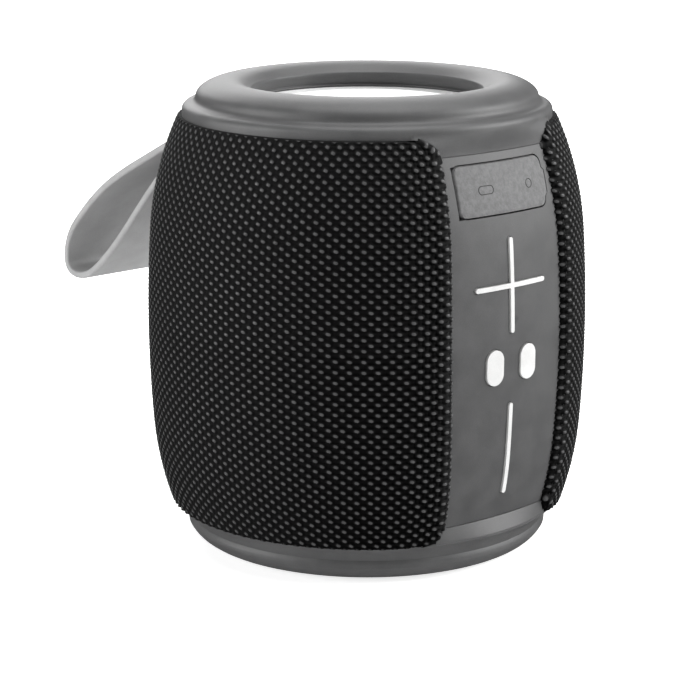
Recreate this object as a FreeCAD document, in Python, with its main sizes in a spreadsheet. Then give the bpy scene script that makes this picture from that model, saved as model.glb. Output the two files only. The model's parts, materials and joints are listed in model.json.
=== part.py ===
"""Compact shower speaker: a barrel wrapped in woven cover, with a control panel and a rubber strap.

Frame: millimetres, +Z up, origin at the middle of the base.  The control panel faces -Y and the
strap is on the +Y side.  Every driving dimension is a cell of the spreadsheet "Sizes".
"""
import FreeCAD, Part
import math
import os

import Sketcher
from FreeCAD import Placement, Rotation, Vector

DRIVING_SIZES = {
    # barrel outline, over the woven cover: one flat arc at the belly, one tighter arc each way
    "barrel_radius": 48.0,
    "widest_height": 48.5,
    "belly_bend": 300.0,
    "belly_half": 21.0,
    "shoulder_bend": 70.0,
    "cover_bottom": 9.0,
    "cover_top": 94.0,
    "cover_thickness": 1.0,
    "wall": 2.4,
    "fit_gap": 0.05,
    # control panel and the window in the woven cover that it shows through
    "panel_drop": 3.7,
    "panel_crown": 90.0,
    "panel_thickness": 2.2,
    "panel_bottom": 12.6,
    "panel_top": 90.1,
    "window_half": 14.8,
    "window_side_bend": 520.0,
    "window_corner": 5.0,
    "lip": 1.2,
    "gasket_thickness": 0.4,
    "seat_thickness": 1.8,
    "seat_half": 21.0,
    "keyhole_half": 12.6,
    "keyhole_bottom": 16.5,
    "keyhole_top": 74.6,
    # port cover
    "flap_height": 83.05,
    "flap_half_long": 12.5,
    "flap_half_tall": 5.05,
    "flap_corner": 1.7,
    "flap_thickness": 1.15,
    "flap_proud": 0.12,
    "flap_gap": 0.4,
    "flap_bulge": 0.7,
    "flap_bead": 0.6,
    "plug_depth": 0.8,
    "plug_rim": 0.9,
    # sockets behind the port cover
    "usb_long": 13.1,
    "usb_tall": 5.7,
    "usb_deep": 14.0,
    "usb_skin": 0.35,
    "usb_side": -4.6,
    "charge_long": 7.5,
    "charge_tall": 2.6,
    "charge_deep": 5.6,
    "charge_side": 7.3,
    "socket_gap": 0.45,
    # buttons
    "key_proud": 0.4,
    "key_gap": 0.16,
    "key_flange": 1.1,
    "key_flange_rim": 0.9,
    "key_travel": 0.4,
    "bar_width": 1.0,
    "plus_height": 63.0,
    "plus_half": 10.0,
    "minus_height": 28.0,
    "minus_half": 10.0,
    "oval_height": 46.2,
    "oval_side": 4.8,
    "oval_half_wide": 2.3,
    "oval_half_tall": 3.8,
    "stem_radius": 1.5,
    # boards
    "board_thickness": 1.6,
    "board_half": 18.0,
    "board_bottom": 16.0,
    "board_top": 74.0,
    "board_front": 33.6,
    "switch_body": 5.0,
    "switch_tall": 3.3,
    "plunger_radius": 1.6,
    "plunger_reach": 1.4,
    "plunger_sunk": 0.5,
    "board_post": 2.3,
    "post_side": 15.4,
    "port_board_half": 16.0,
    "port_board_back": 16.5,
    "port_board_setback": 5.86,
    "rail_tall": 2.8,
    # screws
    "screw_radius": 1.0,
    "screw_hole": 1.1,
    "head_radius": 1.9,
    "head_tall": 1.3,
    "boss_radius": 2.7,
    # top ring and passive radiator
    "crest_height": 101.5,
    "crest_radius": 30.2,
    "mouth_radius": 25.0,
    "mouth_drop": 2.1,
    "foot_radius": 26.2,
    "foot_height": 96.2,
    "cap_wall": 2.0,
    "top_seam": 93.6,
    "top_deck_low": 88.5,
    "deck_thickness": 2.0,
    "top_deck_hole": 31.0,
    "cap_screw_circle": 33.5,
    "frame_wall": 1.7,
    "frame_flange": 1.5,
    "frame_reach": 36.4,
    "roll_outer": 25.2,
    "roll_inner": 20.9,
    "surround_skin": 0.6,
    "disc_radius": 20.4,
    "disc_thickness": 1.0,
    "weight_radius": 9.0,
    "weight_tall": 4.0,
    # bottom ring
    "bottom_seam": 9.4,
    "base_lift": 0.6,
    "base_draw": 6.76,
    "floor_thickness": 2.6,
    "bottom_deck_low": 12.0,
    "bottom_deck_hole": 27.0,
    "base_screw_circle": 31.0,
    "post_radius": 3.4,
    "counterbore": 2.3,
    "post_ledge": 9.0,
    "base_boss_tall": 5.0,
    "foot_radius_out": 26.0,
    "foot_tall": 1.4,
    # driver, facing +Y
    "driver_height": 45.0,
    "baffle_back": 34.5,
    "baffle_thickness": 2.0,
    "baffle_half": 31.0,
    "driver_hole": 22.9,
    "driver_flange": 26.9,
    "driver_screw_long": 4.4,
    "driver_screw_circle": 24.9,
    "steel": 1.0,
    "basket_floor": 21.0,
    "basket_small": 15.6,
    "magnet_radius": 16.0,
    "magnet_hole": 8.6,
    "magnet_tall": 7.0,
    "plate_radius": 14.6,
    "top_plate_tall": 3.5,
    "back_plate_tall": 3.0,
    "pole_radius": 5.8,
    "coil_inner": 6.1,
    "coil_thickness": 0.5,
    "plate_hole": 6.9,
    "cone_outer": 18.6,
    "cone_skin": 0.5,
    # battery
    "cell_radius": 9.2,
    "cell_tall": 65.0,
    "cell_back": 11.5,
    "holder_wall": 1.5,
    "contact_thickness": 0.4,
    "holder_floor": 2.0,
    "holder_half": 17.0,
    "lead_radius": 0.55,
    # strap
    "strap_thickness": 1.7,
    "strap_half": 12.5,
    "strap_reach": 60.0,
    "strap_bulge": 14.4,
    "strap_angle": 47.0,
    "strap_height": 84.2,
    "strap_standoff": 3.0,
    "eyelet_radius": 2.3,
    "pin_radius": 1.0,
    "pin_gap": 0.06,
    "ear_thickness": 2.1,
    "ear_gap": 0.25,
    "bracket_tall": 7.6,
    "bracket_proud": 0.35,
    "bracket_plate": 1.6,
    "bracket_reach": 18.9,
    "bracket_screw_side": 16.9,
    "bracket_plate_front": 34.9,
}

doc = FreeCAD.newDocument("shower_speaker")
sheet = doc.addObject("Spreadsheet::Sheet", "Sizes")
nodes = []


class Size:
    """A size kept both as a number and as the spreadsheet formula that gives it."""

    def __init__(self, value, text):
        self.value = value
        self.text = text

    @staticmethod
    def of(other):
        if isinstance(other, Size):
            return other
        return Size(float(other), f"({float(other):.6f})")

    def _join(self, other, sign, value):
        return Size(value, f"({self.text} {sign} {other.text})")

    def __add__(self, other):
        other = Size.of(other)
        return self._join(other, "+", self.value + other.value)

    def __sub__(self, other):
        other = Size.of(other)
        return self._join(other, "-", self.value - other.value)

    def __mul__(self, other):
        other = Size.of(other)
        return self._join(other, "*", self.value * other.value)

    def __truediv__(self, other):
        other = Size.of(other)
        return self._join(other, "/", self.value / other.value)

    def __radd__(self, other):
        return Size.of(other) + self

    def __rsub__(self, other):
        return Size.of(other) - self

    def __rmul__(self, other):
        return Size.of(other) * self

    def __neg__(self):
        return 0 - self

    def root(self):
        return Size(math.sqrt(self.value), f"sqrt({self.text})")


class Sizes:
    """The driving sizes by name."""

    def __init__(self, table):
        for row, (name, value) in enumerate(table.items(), start=1):
            sheet.set(f"A{row}", name)
            sheet.set(f"B{row}", str(value))
            sheet.setAlias(f"B{row}", name)
            setattr(self, name, Size(float(value), f"Sizes.{name}"))


s = Sizes(DRIVING_SIZES)
doc.recompute()


# ---------------------------------------------------------------- small makers

def bind(thing, prop, size):
    thing.setExpression(prop, Size.of(size).text)


def place(thing, x=0, y=0, z=0, rotation=None):
    """Put a thing at a bound position, turned by a fixed rotation."""
    thing.Placement = Placement(Vector(0, 0, 0), rotation or Rotation())
    for axis, size in (("x", x), ("y", y), ("z", z)):
        bind(thing, f"Placement.Base.{axis}", size)
    return thing


def node(name, thing):
    """Name a finished sub-part."""
    thing.Label = name
    nodes.append(thing)
    return thing


def box(name, low, high):
    thing = doc.addObject("Part::Box", name)
    for prop, start, end in zip(("Length", "Width", "Height"), low, high):
        bind(thing, prop, Size.of(end) - start)
    return place(thing, *low)


AXES = {
    "Z": Rotation(),
    "Y": Rotation(Vector(1, 0, 0), -90),
    "X": Rotation(Vector(0, 1, 0), 90),
}


def cylinder(name, radius, length, at, axis="Z"):
    """A cylinder that starts at a point and runs along +X, +Y or +Z."""
    thing = doc.addObject("Part::Cylinder", name)
    bind(thing, "Radius", radius)
    bind(thing, "Height", length)
    return place(thing, *at, rotation=AXES[axis])


def cut(name, base, *tools):
    thing = doc.addObject("Part::Cut", name)
    thing.Base = base
    thing.Tool = tools[0] if len(tools) == 1 else join(name + "_tools", *tools)
    return thing


def join(name, *parts):
    thing = doc.addObject("Part::MultiFuse", name)
    thing.Shapes = list(parts)
    return thing


def shared(name, *parts):
    thing = doc.addObject("Part::MultiCommon", name)
    thing.Shapes = list(parts)
    return thing


def group(name, *parts):
    """Identical pieces that stay separate solids."""
    thing = doc.addObject("Part::Compound", name)
    thing.Links = list(parts)
    return thing


def origin_plane(body, role):
    return next(plane for plane in body.Origin.OriginFeatures if plane.Role == role)


def arc_through(start, end, bend):
    """Arc from start to end; a positive bend turns left on the way, a negative one right."""
    first, last = (start, end) if bend > 0 else (end, start)
    chord = last - first
    middle = (first + last) * 0.5
    height = math.sqrt(max(bend * bend - chord.Length ** 2 / 4, 0.0))
    left = Vector(-chord.y, chord.x, 0).normalize()
    centre = middle + left * height
    circle = Part.Circle(centre, Vector(0, 0, 1), abs(bend))
    return Part.ArcOfCircle(circle, circle.parameter(first), circle.parameter(last))


def draw_loop(sketch, corners):
    """Draw a closed outline whose corners and bends are bound to the sheet.

    A corner is (across, up) or (across, up, bend); the bend is that of the arc leading to it.
    """
    spots = [Vector(Size.of(c[0]).value, Size.of(c[1]).value, 0) for c in corners]
    ends = []
    for index, corner in enumerate(corners):
        start, end = spots[index - 1], spots[index]
        if len(corner) == 2:
            edge = sketch.addGeometry(Part.LineSegment(start, end), False)
            ends.append((edge, 1, 2))
            continue
        bend = Size.of(corner[2])
        edge = sketch.addGeometry(arc_through(start, end, bend.value), False)
        radius = bend if bend.value > 0 else -bend
        number = sketch.addConstraint(Sketcher.Constraint("Radius", edge, radius.value))
        bind(sketch, f"Constraints[{number}]", radius)
        ends.append((edge, 1, 2) if bend.value > 0 else (edge, 2, 1))
    for index, corner in enumerate(corners):
        edge, _, last = ends[index]
        following, first, _ = ends[(index + 1) % len(ends)]
        sketch.addConstraint(Sketcher.Constraint("Coincident", edge, last, following, first))
        for kind, size in (("DistanceX", corner[0]), ("DistanceY", corner[1])):
            size = Size.of(size)
            rule = Sketcher.Constraint(kind, -1, 1, edge, last, size.value)
            bind(sketch, f"Constraints[{sketch.addConstraint(rule)}]", size)


def sketched_body(name, role, loops, offset):
    body = doc.addObject("PartDesign::Body", name)
    sketch = body.newObject("Sketcher::SketchObject", name + "_outline")
    sketch.AttachmentSupport = [(origin_plane(body, role), "")]
    sketch.MapMode = "FlatFace"
    bind(sketch, "AttachmentOffset.Base.z", offset)
    for loop in loops:
        draw_loop(sketch, loop)
    return body, sketch


def spun(name, *loops):
    """A solid of revolution about Z; outlines are (radius, height)."""
    body, sketch = sketched_body(name, "XZ_Plane", loops, 0)
    spin = body.newObject("PartDesign::Revolution", name + "_spin")
    spin.Profile = sketch
    spin.ReferenceAxis = (sketch, ["V_Axis"])
    spin.Angle = 360
    return body


def padded(name, loops, back, front, role="XZ_Plane"):
    """Outlines padded from back to front: along -Y on XZ_Plane, +X on YZ_Plane, +Z on XY_Plane."""
    body, sketch = sketched_body(name, role, loops, back)
    pad = body.newObject("PartDesign::Pad", name + "_pad")
    pad.Profile = sketch
    bind(pad, "Length", Size.of(front) - back)
    return body


def solid_feature(name, shape):
    thing = doc.addObject("Part::Feature", name)
    thing.Shape = shape
    return thing


# ---------------------------------------------------------------- shared outlines

CORNER_SIDES = ((1, 1), (-1, 1), (-1, -1), (1, -1))
DIAGONAL = math.sqrt(0.5)

lean = s.belly_half / s.belly_bend
upright = (1 - lean * lean).root()
shoulder_in = s.barrel_radius - s.belly_bend + (s.belly_bend - s.shoulder_bend) * upright
shoulder_off = (s.belly_bend - s.shoulder_bend) * lean


def barrel_at(height, inset=0):
    """Radius of the barrel outline, set in by inset, at a height."""
    height = Size.of(height)
    above = height.value > s.widest_height.value
    rise = height - s.widest_height if above else s.widest_height - height
    if rise.value < s.belly_half.value:
        bend = s.belly_bend - inset
        return s.barrel_radius - s.belly_bend + (bend * bend - rise * rise).root()
    bend = s.shoulder_bend - inset
    step = rise - shoulder_off
    return shoulder_in + (bend * bend - step * step).root()


def barrel_edge(inset, low, high, shift=0, down=False):
    """Corners of the barrel outline from low to high, or from high down to low."""
    tangent = shift + s.barrel_radius - s.belly_bend + (s.belly_bend - inset) * upright
    step = (s.belly_bend - inset) * lean
    shoulder = s.shoulder_bend - inset
    belly = s.belly_bend - inset
    places = [
        (shift + barrel_at(low, inset), low),
        (tangent, s.widest_height - step),
        (tangent, s.widest_height + step),
        (shift + barrel_at(high, inset), high),
    ]
    bends = [shoulder, belly, shoulder]
    if not down:
        return [places[0]] + [(*spot, bend) for spot, bend in zip(places[1:], bends)]
    return [places[3]] + [(*spot, -bend) for spot, bend in zip(places[2::-1], bends)]


def barrel_solid(name, inset, low, high):
    return spun(name, [(0, low)] + barrel_edge(inset, low, high) + [(0, high)])


def panel_solid(name, inset, low, high):
    """Solid whose front is the panel's crowned face, set in by inset."""
    shift = s.panel_crown - s.barrel_radius
    body = spun(name, [(0, low)] + barrel_edge(inset, low, high, shift) + [(0, high)])
    return place(body, y=s.panel_crown - s.barrel_radius + s.panel_drop)


def panel_face(height, across=0):
    """Distance of the panel's face in front of the Z axis."""
    radius = s.panel_crown - s.barrel_radius + barrel_at(height)
    across = Size.of(across)
    deep = (radius * radius - across * across).root()
    return deep - (s.panel_crown - s.barrel_radius + s.panel_drop)


def window_loop(grow, low, high):
    """Outline of the panel window, grown outwards; its corners flare at the rounded cover corners."""
    half = s.window_half + grow
    corner = s.window_corner - grow
    side = s.window_side_bend
    return [
        (-(half + corner), low, -corner),
        (half + corner, low),
        (half, low + corner, -corner),
        (half, high - corner, side),
        (half + corner, high, -corner),
        (-(half + corner), high),
        (-half, high - corner, -corner),
        (-half, low + corner, side),
    ]


def straight_window_loop(shrink, low, high):
    """The window's middle part with straight ends, shrunk inwards."""
    half = s.window_half - shrink
    bend = s.window_side_bend
    return [(-half, low, bend), (half, low), (half, high, bend), (-half, high)]


def slot_loop(across, up, half_wide, half_tall):
    """An upright slot with round ends."""
    left, right = across - half_wide, across + half_wide
    straight = half_tall - half_wide
    return [
        (left, up - straight),
        (right, up - straight, half_wide * 1.0001),
        (right, up + straight),
        (left, up + straight, half_wide * 1.0001),
    ]


def flap_loop(grow, trim):
    """Outline of the port cover: a rounded rectangle with a fingernail bulge on its right edge.

    It is grown outwards all round, and its left edge is then trimmed back.
    """
    left = -(s.flap_half_long + grow)
    right = s.flap_half_long + grow
    low = s.flap_height - s.flap_half_tall - grow
    high = s.flap_height + s.flap_half_tall + grow
    corner = s.flap_corner + grow
    bulge = s.flap_bulge
    rise = corner - (corner * corner - (corner - trim) * (corner - trim)).root()
    return [
        (left + corner, low, corner),
        (right - corner, low),
        (right, low + corner, corner),
        (right + bulge, low + corner + bulge, -3 * bulge),
        (right + bulge, high - corner - 2 * bulge),
        (right, high - corner - bulge, -3 * bulge),
        (right, high - corner),
        (right - corner, high, corner),
        (left + corner, high),
        (left + trim, high - rise, corner),
        (left + trim, low + rise),
    ]


def screw(name, at, length, axis, flip=False):
    """Pan head and shank. The seat plane of the head is at the point; the shank runs along axis."""
    x, y, z = at
    along = {"X": 0, "Y": 1, "Z": 2}[axis]
    head_at, shank_at = [x, y, z], [x, y, z]
    if flip:
        shank_at[along] = Size.of(at[along]) - length
    else:
        head_at[along] = Size.of(at[along]) - s.head_tall
    head = cylinder(name + "_head", s.head_radius, s.head_tall, head_at, axis)
    shank = cylinder(name + "_shank", s.screw_radius, length, shank_at, axis)
    return join(name, head, shank)


def corner_places(circle):
    """Four places on a circle, on the diagonals."""
    reach = circle * DIAGONAL
    return [(reach * x, reach * y) for x, y in CORNER_SIDES]


# ---------------------------------------------------------------- housings

seat_front = s.panel_thickness + s.gasket_thickness
seat_back = seat_front + s.seat_thickness
inner_inset = s.cover_thickness + s.wall
far = s.barrel_radius + 12


def housing_ring():
    """Barrel wall with an inward deck near each end."""
    low, high = s.bottom_seam, s.top_seam
    deck_high = s.top_deck_low + s.deck_thickness
    deck_low_top = s.bottom_deck_low + s.deck_thickness
    loop = barrel_edge(s.cover_thickness, low, high)
    loop += [
        (barrel_at(high, inner_inset), high),
        (barrel_at(deck_high, inner_inset), deck_high, -(s.shoulder_bend - inner_inset)),
        (s.top_deck_hole, deck_high),
        (s.top_deck_hole, s.top_deck_low),
    ]
    loop += barrel_edge(inner_inset, deck_low_top, s.top_deck_low, down=True)
    loop += [
        (s.bottom_deck_hole, deck_low_top),
        (s.bottom_deck_hole, s.bottom_deck_low),
        (barrel_at(s.bottom_deck_low, inner_inset), s.bottom_deck_low),
        (barrel_at(low, inner_inset), low, -(s.shoulder_bend - inner_inset)),
    ]
    return spun("housing_ring", loop)


def deck_holes(side):
    """Screw clearance holes in the top deck of one half."""
    holes = []
    for index, (x, y) in enumerate(corner_places(s.cap_screw_circle)):
        if y.value * side > 0:
            at = (x, y, s.top_deck_low - 1)
            holes.append(cylinder(f"deck_hole_{side}_{index}", s.screw_hole, s.deck_thickness + 2, at))
    return holes


def base_bosses(side):
    """Bosses on the bottom deck that the base screws go up into, with their holes."""
    bosses, holes = [], []
    floor = s.bottom_deck_low
    for index, (x, y) in enumerate(corner_places(s.base_screw_circle)):
        if y.value * side > 0:
            tall = s.deck_thickness + s.base_boss_tall
            bosses.append(cylinder(f"base_boss_{side}_{index}", s.boss_radius, tall, (x, y, floor)))
            hole_tall = tall + 1 - s.steel
            hole = cylinder(f"base_hole_{side}_{index}", s.screw_hole, hole_tall, (x, y, floor - 1))
            holes.append(hole)
    return bosses, holes


port_board_top = s.flap_height - s.usb_tall / 2
rail_top = port_board_top - s.board_thickness
rail_screw_back = s.port_board_back + 3
port_board_front = panel_face(s.flap_height) - s.port_board_setback


def front_housing(ring):
    """Front half: carries the panel on a seat, the main board on posts and the port board on rails."""
    half = box("front_half", (-far, -far, 0), (far, 0, s.crest_height))
    front_ring = shared("front_ring", ring, half)
    low, high = s.bottom_deck_low, s.top_deck_low + s.deck_thickness
    block = shared("seat_block_outer", barrel_solid("seat_barrel", s.cover_thickness, low, high),
                   box("seat_slab", (-s.seat_half, -far, low), (s.seat_half, -s.bottom_deck_hole, high)))
    seat = cut("seat_block", block, panel_solid("seat_hollow", seat_back, low, high))
    posts, post_holes = [], []
    for index, (x, z) in enumerate(board_places()):
        start = (x, -panel_face(z, s.post_side) + s.panel_thickness, z)
        length = panel_face(z, s.post_side) - s.panel_thickness - s.board_front
        posts.append(cylinder(f"board_post_{index}", s.board_post, length, start, "Y"))
        hole_at = (x, -s.board_front - 3, z)
        post_holes.append(cylinder(f"board_post_hole_{index}", s.screw_hole, 4, hole_at, "Y"))
    rails, rail_holes = [], []
    for side in (-1, 1):
        edge = side * s.port_board_half
        inner = side * (s.port_board_half - 3.4)
        low_x, high_x = (edge, inner) if side < 0 else (inner, edge)
        rails.append(box(f"port_rail_{side + 1}",
                         (low_x, -port_board_front - 3.5, rail_top - s.rail_tall),
                         (high_x, -s.port_board_back, rail_top)))
        hole_at = (side * (s.port_board_half - 1.7), -rail_screw_back, rail_top - s.rail_tall + 0.6)
        rail_holes.append(cylinder(f"port_rail_hole_{side + 1}", s.screw_hole, s.rail_tall, hole_at))
    bosses, boss_holes = base_bosses(-1)
    body = join("front_blank", front_ring, seat, *posts, *rails, *bosses)
    window = padded("panel_pocket_window", [window_loop(s.lip, s.bottom_seam - 0.4, s.top_seam + 0.4)],
                    s.bottom_deck_hole, far)
    pocket = cut("panel_pocket", window,
                 panel_solid("panel_pocket_floor", seat_front, s.bottom_deck_low, high))
    keyhole = box("keyhole", (-s.keyhole_half, -far, s.keyhole_bottom),
                  (s.keyhole_half, -s.bottom_deck_hole, s.keyhole_top))
    mouths = socket_openings("seat_socket", 0.3, s.bottom_deck_hole + 6, far)
    return node("front_housing", cut("front_housing", body, pocket, keyhole, *mouths, *post_holes,
                                     *rail_holes, *boss_holes, *deck_holes(-1)))


def board_places():
    """Places of the four main board screws, as (x, z)."""
    low, high = s.board_bottom + 3.4, s.board_top - 3.4
    return [(side * s.post_side, z) for side in (-1, 1) for z in (low, high)]


def socket_openings(name, grow, back, front):
    """Rectangular openings in line with the two sockets."""
    gap = s.socket_gap + grow
    openings = []
    for label, side, long, tall in (("usb", s.usb_side, s.usb_long, s.usb_tall),
                                    ("charge", s.charge_side, s.charge_long, s.charge_tall)):
        reach, rise = long / 2 + gap, tall / 2 + gap
        openings.append(box(f"{name}_{label}", (side - reach, -front, s.flap_height - rise),
                            (side + reach, -back, s.flap_height + rise)))
    return openings


def bracket_box(name, grow, back, front):
    """The block of the strap bracket where it passes through the wall."""
    half = s.strap_half + s.ear_gap + s.ear_thickness + grow
    rise = s.bracket_tall / 2 + grow
    return box(name, (-half, back, s.strap_height - rise), (half, front, s.strap_height + rise))


def rear_housing(ring):
    """Rear half: the driver's baffle, a slotted grille in front of it and the strap bracket's bosses."""
    half = box("rear_half", (-far, 0, 0), (far, far, s.crest_height))
    rear_ring = shared("rear_ring", ring, half)
    baffle_front = s.baffle_back + s.baffle_thickness
    low, high = s.driver_height - s.baffle_half, s.driver_height + s.baffle_half
    baffle = shared("baffle", barrel_solid("baffle_barrel", s.cover_thickness + s.wall / 2,
                                           s.bottom_deck_low, s.top_deck_low),
                    box("baffle_plate", (-s.baffle_half, s.baffle_back, low),
                        (s.baffle_half, baffle_front, high)))
    bracket_bosses, bracket_holes = [], []
    for side in (-1, 1):
        x = side * s.bracket_screw_side
        at = (x, s.bracket_plate_front, s.strap_height)
        bracket_bosses.append(cylinder(f"bracket_boss_{side + 1}", s.boss_radius, 4, at, "Y"))
        bracket_holes.append(cylinder(f"bracket_hole_{side + 1}", s.screw_hole, 2.6,
                                      (x, s.bracket_plate_front - 1, s.strap_height), "Y"))
    trimmed = shared("bracket_bosses", join("bracket_boss_pair", *bracket_bosses),
                     barrel_solid("boss_barrel", s.cover_thickness + s.fit_gap,
                                  s.bottom_deck_low, s.top_deck_low))
    bosses, boss_holes = base_bosses(1)
    body = join("rear_blank", rear_ring, baffle, trimmed, *bosses)
    driver_hole = cylinder("driver_opening", s.driver_hole, 4,
                           (0, s.baffle_back - 1, s.driver_height), "Y")
    screw_holes = [cylinder(f"driver_hole_{index}", s.screw_hole, 4,
                            (x, s.baffle_back - 1, s.driver_height + z), "Y")
                   for index, (x, z) in enumerate(corner_places(s.driver_screw_circle))]
    slots = []
    pitch, half_slot = 4.4, 1.1
    for index in range(-4, 5):
        reach = math.sqrt(1 - (index * 0.21) ** 2)
        rise = s.driver_hole * reach
        slots.append(box(f"grille_slot_{index + 4}",
                         (index * pitch - half_slot, baffle_front + 1, s.driver_height - rise),
                         (index * pitch + half_slot, far, s.driver_height + rise)))
    opening = bracket_box("bracket_opening", s.fit_gap, s.baffle_back, far)
    return node("rear_housing", cut("rear_housing", body, driver_hole, opening, *screw_holes, *slots,
                                    *bracket_holes, *boss_holes, *deck_holes(1)))


def fabric_wrap():
    """The woven cover as a plain sleeve, turned in at the edges of the panel window."""
    low, high = s.cover_bottom, s.cover_top
    back_edge = barrel_edge(s.cover_thickness, low, high, down=True)
    sleeve = spun("sleeve", barrel_edge(0, low, high) + back_edge)
    window = padded("sleeve_window", [window_loop(0, low, high)], s.bottom_deck_hole, far)
    grown = padded("lip_outer", [window_loop(s.lip - s.fit_gap, low, high)], s.bottom_deck_hole, far)
    inner = padded("lip_inner", [window_loop(0, low, high)], s.bottom_deck_hole - 1, far + 1)
    frame = cut("lip_frame", grown, inner)
    lip_barrel = barrel_solid("lip_barrel", 0.5 * s.cover_thickness, s.bottom_seam + s.fit_gap,
                              s.top_seam - s.fit_gap)
    lip = cut("lip", shared("lip_in_barrel", frame, lip_barrel),
              panel_solid("lip_floor", -s.fit_gap, low - 1, high + 1))
    opening = bracket_box("sleeve_bracket_opening", s.fit_gap * 2, s.baffle_back, far)
    cover = join("sleeve_with_lip", cut("open_sleeve", sleeve, window), lip)
    return node("fabric_wrap", cut("fabric_wrap", cover, opening))


# ---------------------------------------------------------------- panel, port cover and buttons

BEAD_RISE = 0.04


def flap_hinge():
    """Line of the port cover's hinge: its middle (x, y) and how far it leans for each step up."""
    across = s.flap_half_long - s.flap_bead
    reach = s.flap_half_tall - s.flap_corner
    low_y = -panel_face(s.flap_height - reach, across)
    high_y = -panel_face(s.flap_height + reach, across)
    middle_y = (low_y + high_y) / 2 + s.flap_bead - BEAD_RISE
    return -across, middle_y, (high_y - low_y) / (reach * 2)


def flap_bead(name, radius, extra):
    """The rounded edge that the port cover turns on, between the cover's rounded corners."""
    x, y, slope = flap_hinge()
    length = (s.flap_half_tall - s.flap_corner) * 2 + extra
    tilt = math.degrees(math.atan(slope.value))
    bead = cylinder(name, radius, length, (x, y - slope * length / 2, s.flap_height - length / 2))
    bead.Placement.Rotation = Rotation(Vector(1, 0, 0), -tilt)
    return bead


def control_panel():
    low, high = s.panel_bottom, s.panel_top
    blank = padded("panel_blank", [straight_window_loop(-(s.lip - s.fit_gap * 3), low, high)],
                   s.bottom_deck_hole, far)
    skin = cut("panel_skin", panel_solid("panel_front", 0, low - 1, high + 1),
               panel_solid("panel_back", s.panel_thickness, low - 1, high + 1))
    plate = shared("panel_plate", blank, skin)
    hollow = padded("flap_recess_outline", [flap_loop(s.flap_gap, Size.of(0))],
                    s.bottom_deck_hole, far)
    recess = cut("flap_recess", hollow,
                 panel_solid("flap_recess_floor", s.flap_thickness + s.fit_gap, low - 1, high + 1))
    slots = [padded(f"{name}_slot", [loop], s.bottom_deck_hole, far)
             for name, loop in key_loops(s.key_gap)]
    mouths = socket_openings("panel_socket", 0, s.bottom_deck_hole, far)
    groove = flap_bead("flap_groove", s.flap_bead + s.flap_gap, (s.flap_corner + s.flap_gap) * 2)
    return node("control_panel", cut("control_panel", plate, recess, groove, *slots, *mouths))


def key_loops(grow):
    """Outlines of the button faces, grown by a gap."""
    bar = s.bar_width / 2 + grow
    middle = Size.of(0)
    loops = [
        ("plus_upright", slot_loop(middle, s.plus_height, bar, s.plus_half + grow)),
        ("minus", slot_loop(middle, s.minus_height, bar, s.minus_half + grow)),
        ("power", slot_loop(-s.oval_side, s.oval_height, s.oval_half_wide + grow, s.oval_half_tall + grow)),
        ("play", slot_loop(s.oval_side, s.oval_height, s.oval_half_wide + grow, s.oval_half_tall + grow)),
    ]
    reach = s.plus_half + grow
    straight = reach - bar
    level = [
        (-straight, s.plus_height - bar, bar * 1.0001),
        (straight, s.plus_height - bar),
        (straight, s.plus_height + bar, bar * 1.0001),
        (-straight, s.plus_height + bar),
    ]
    return loops + [("plus_level", level)]


def panel_gasket():
    """Adhesive seal between the panel and its seat."""
    low, high = s.panel_bottom + 1, s.panel_top - 1
    blank = padded("gasket_blank", [straight_window_loop(0, low, high)], s.bottom_deck_hole, far)
    skin = cut("gasket_skin", panel_solid("gasket_front", s.panel_thickness, low - 1, high + 1),
               panel_solid("gasket_back", seat_front, low - 1, high + 1))
    keyhole = box("gasket_keyhole", (-s.keyhole_half, -far, s.keyhole_bottom),
                  (s.keyhole_half, 0, s.keyhole_top))
    mouths = socket_openings("gasket_socket", 0.3, s.bottom_deck_hole, far)
    plate = shared("gasket_plate", blank, skin)
    return node("panel_gasket", cut("panel_gasket", plate, keyhole, *mouths))


def port_cover():
    """Rubber flap with a hinge bead on the left and a shallow rim behind each socket opening."""
    low, high = s.flap_height - 8, s.flap_height + s.flap_half_tall + 1
    face = cut("flap_skin", panel_solid("flap_front", -s.flap_proud, low, high),
               panel_solid("flap_back", s.flap_thickness, low, high))
    outline = padded("flap_outline", [flap_loop(0, s.flap_bead)], s.bottom_deck_hole, far)
    flap = shared("flap_plate", outline, face)
    rims = []
    layer = cut("rim_layer", panel_solid("rim_front", s.flap_thickness - 0.1, low, high),
                panel_solid("rim_back", s.flap_thickness + s.plug_depth, low, high))
    for label, side, long, tall in (("usb", s.usb_side, s.usb_long, s.usb_tall),
                                    ("charge", s.charge_side, s.charge_long, s.charge_tall)):
        outer = box(f"rim_outer_{label}", (side - long / 2 + 0.15, -far, s.flap_height - tall / 2),
                    (side + long / 2 - 0.15, -s.bottom_deck_hole, s.flap_height + tall / 2))
        rise = tall / 2 - s.plug_rim
        inner = box(f"rim_inner_{label}", (side - long / 2 + s.plug_rim, -far, s.flap_height - rise),
                    (side + long / 2 - s.plug_rim, -s.bottom_deck_hole, s.flap_height + rise))
        rims.append(shared(f"rim_{label}", layer, cut(f"rim_frame_{label}", outer, inner)))
    bead = flap_bead("flap_bead", s.flap_bead, 0)
    return node("port_cover", join("port_cover", flap, bead, *rims))


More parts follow.
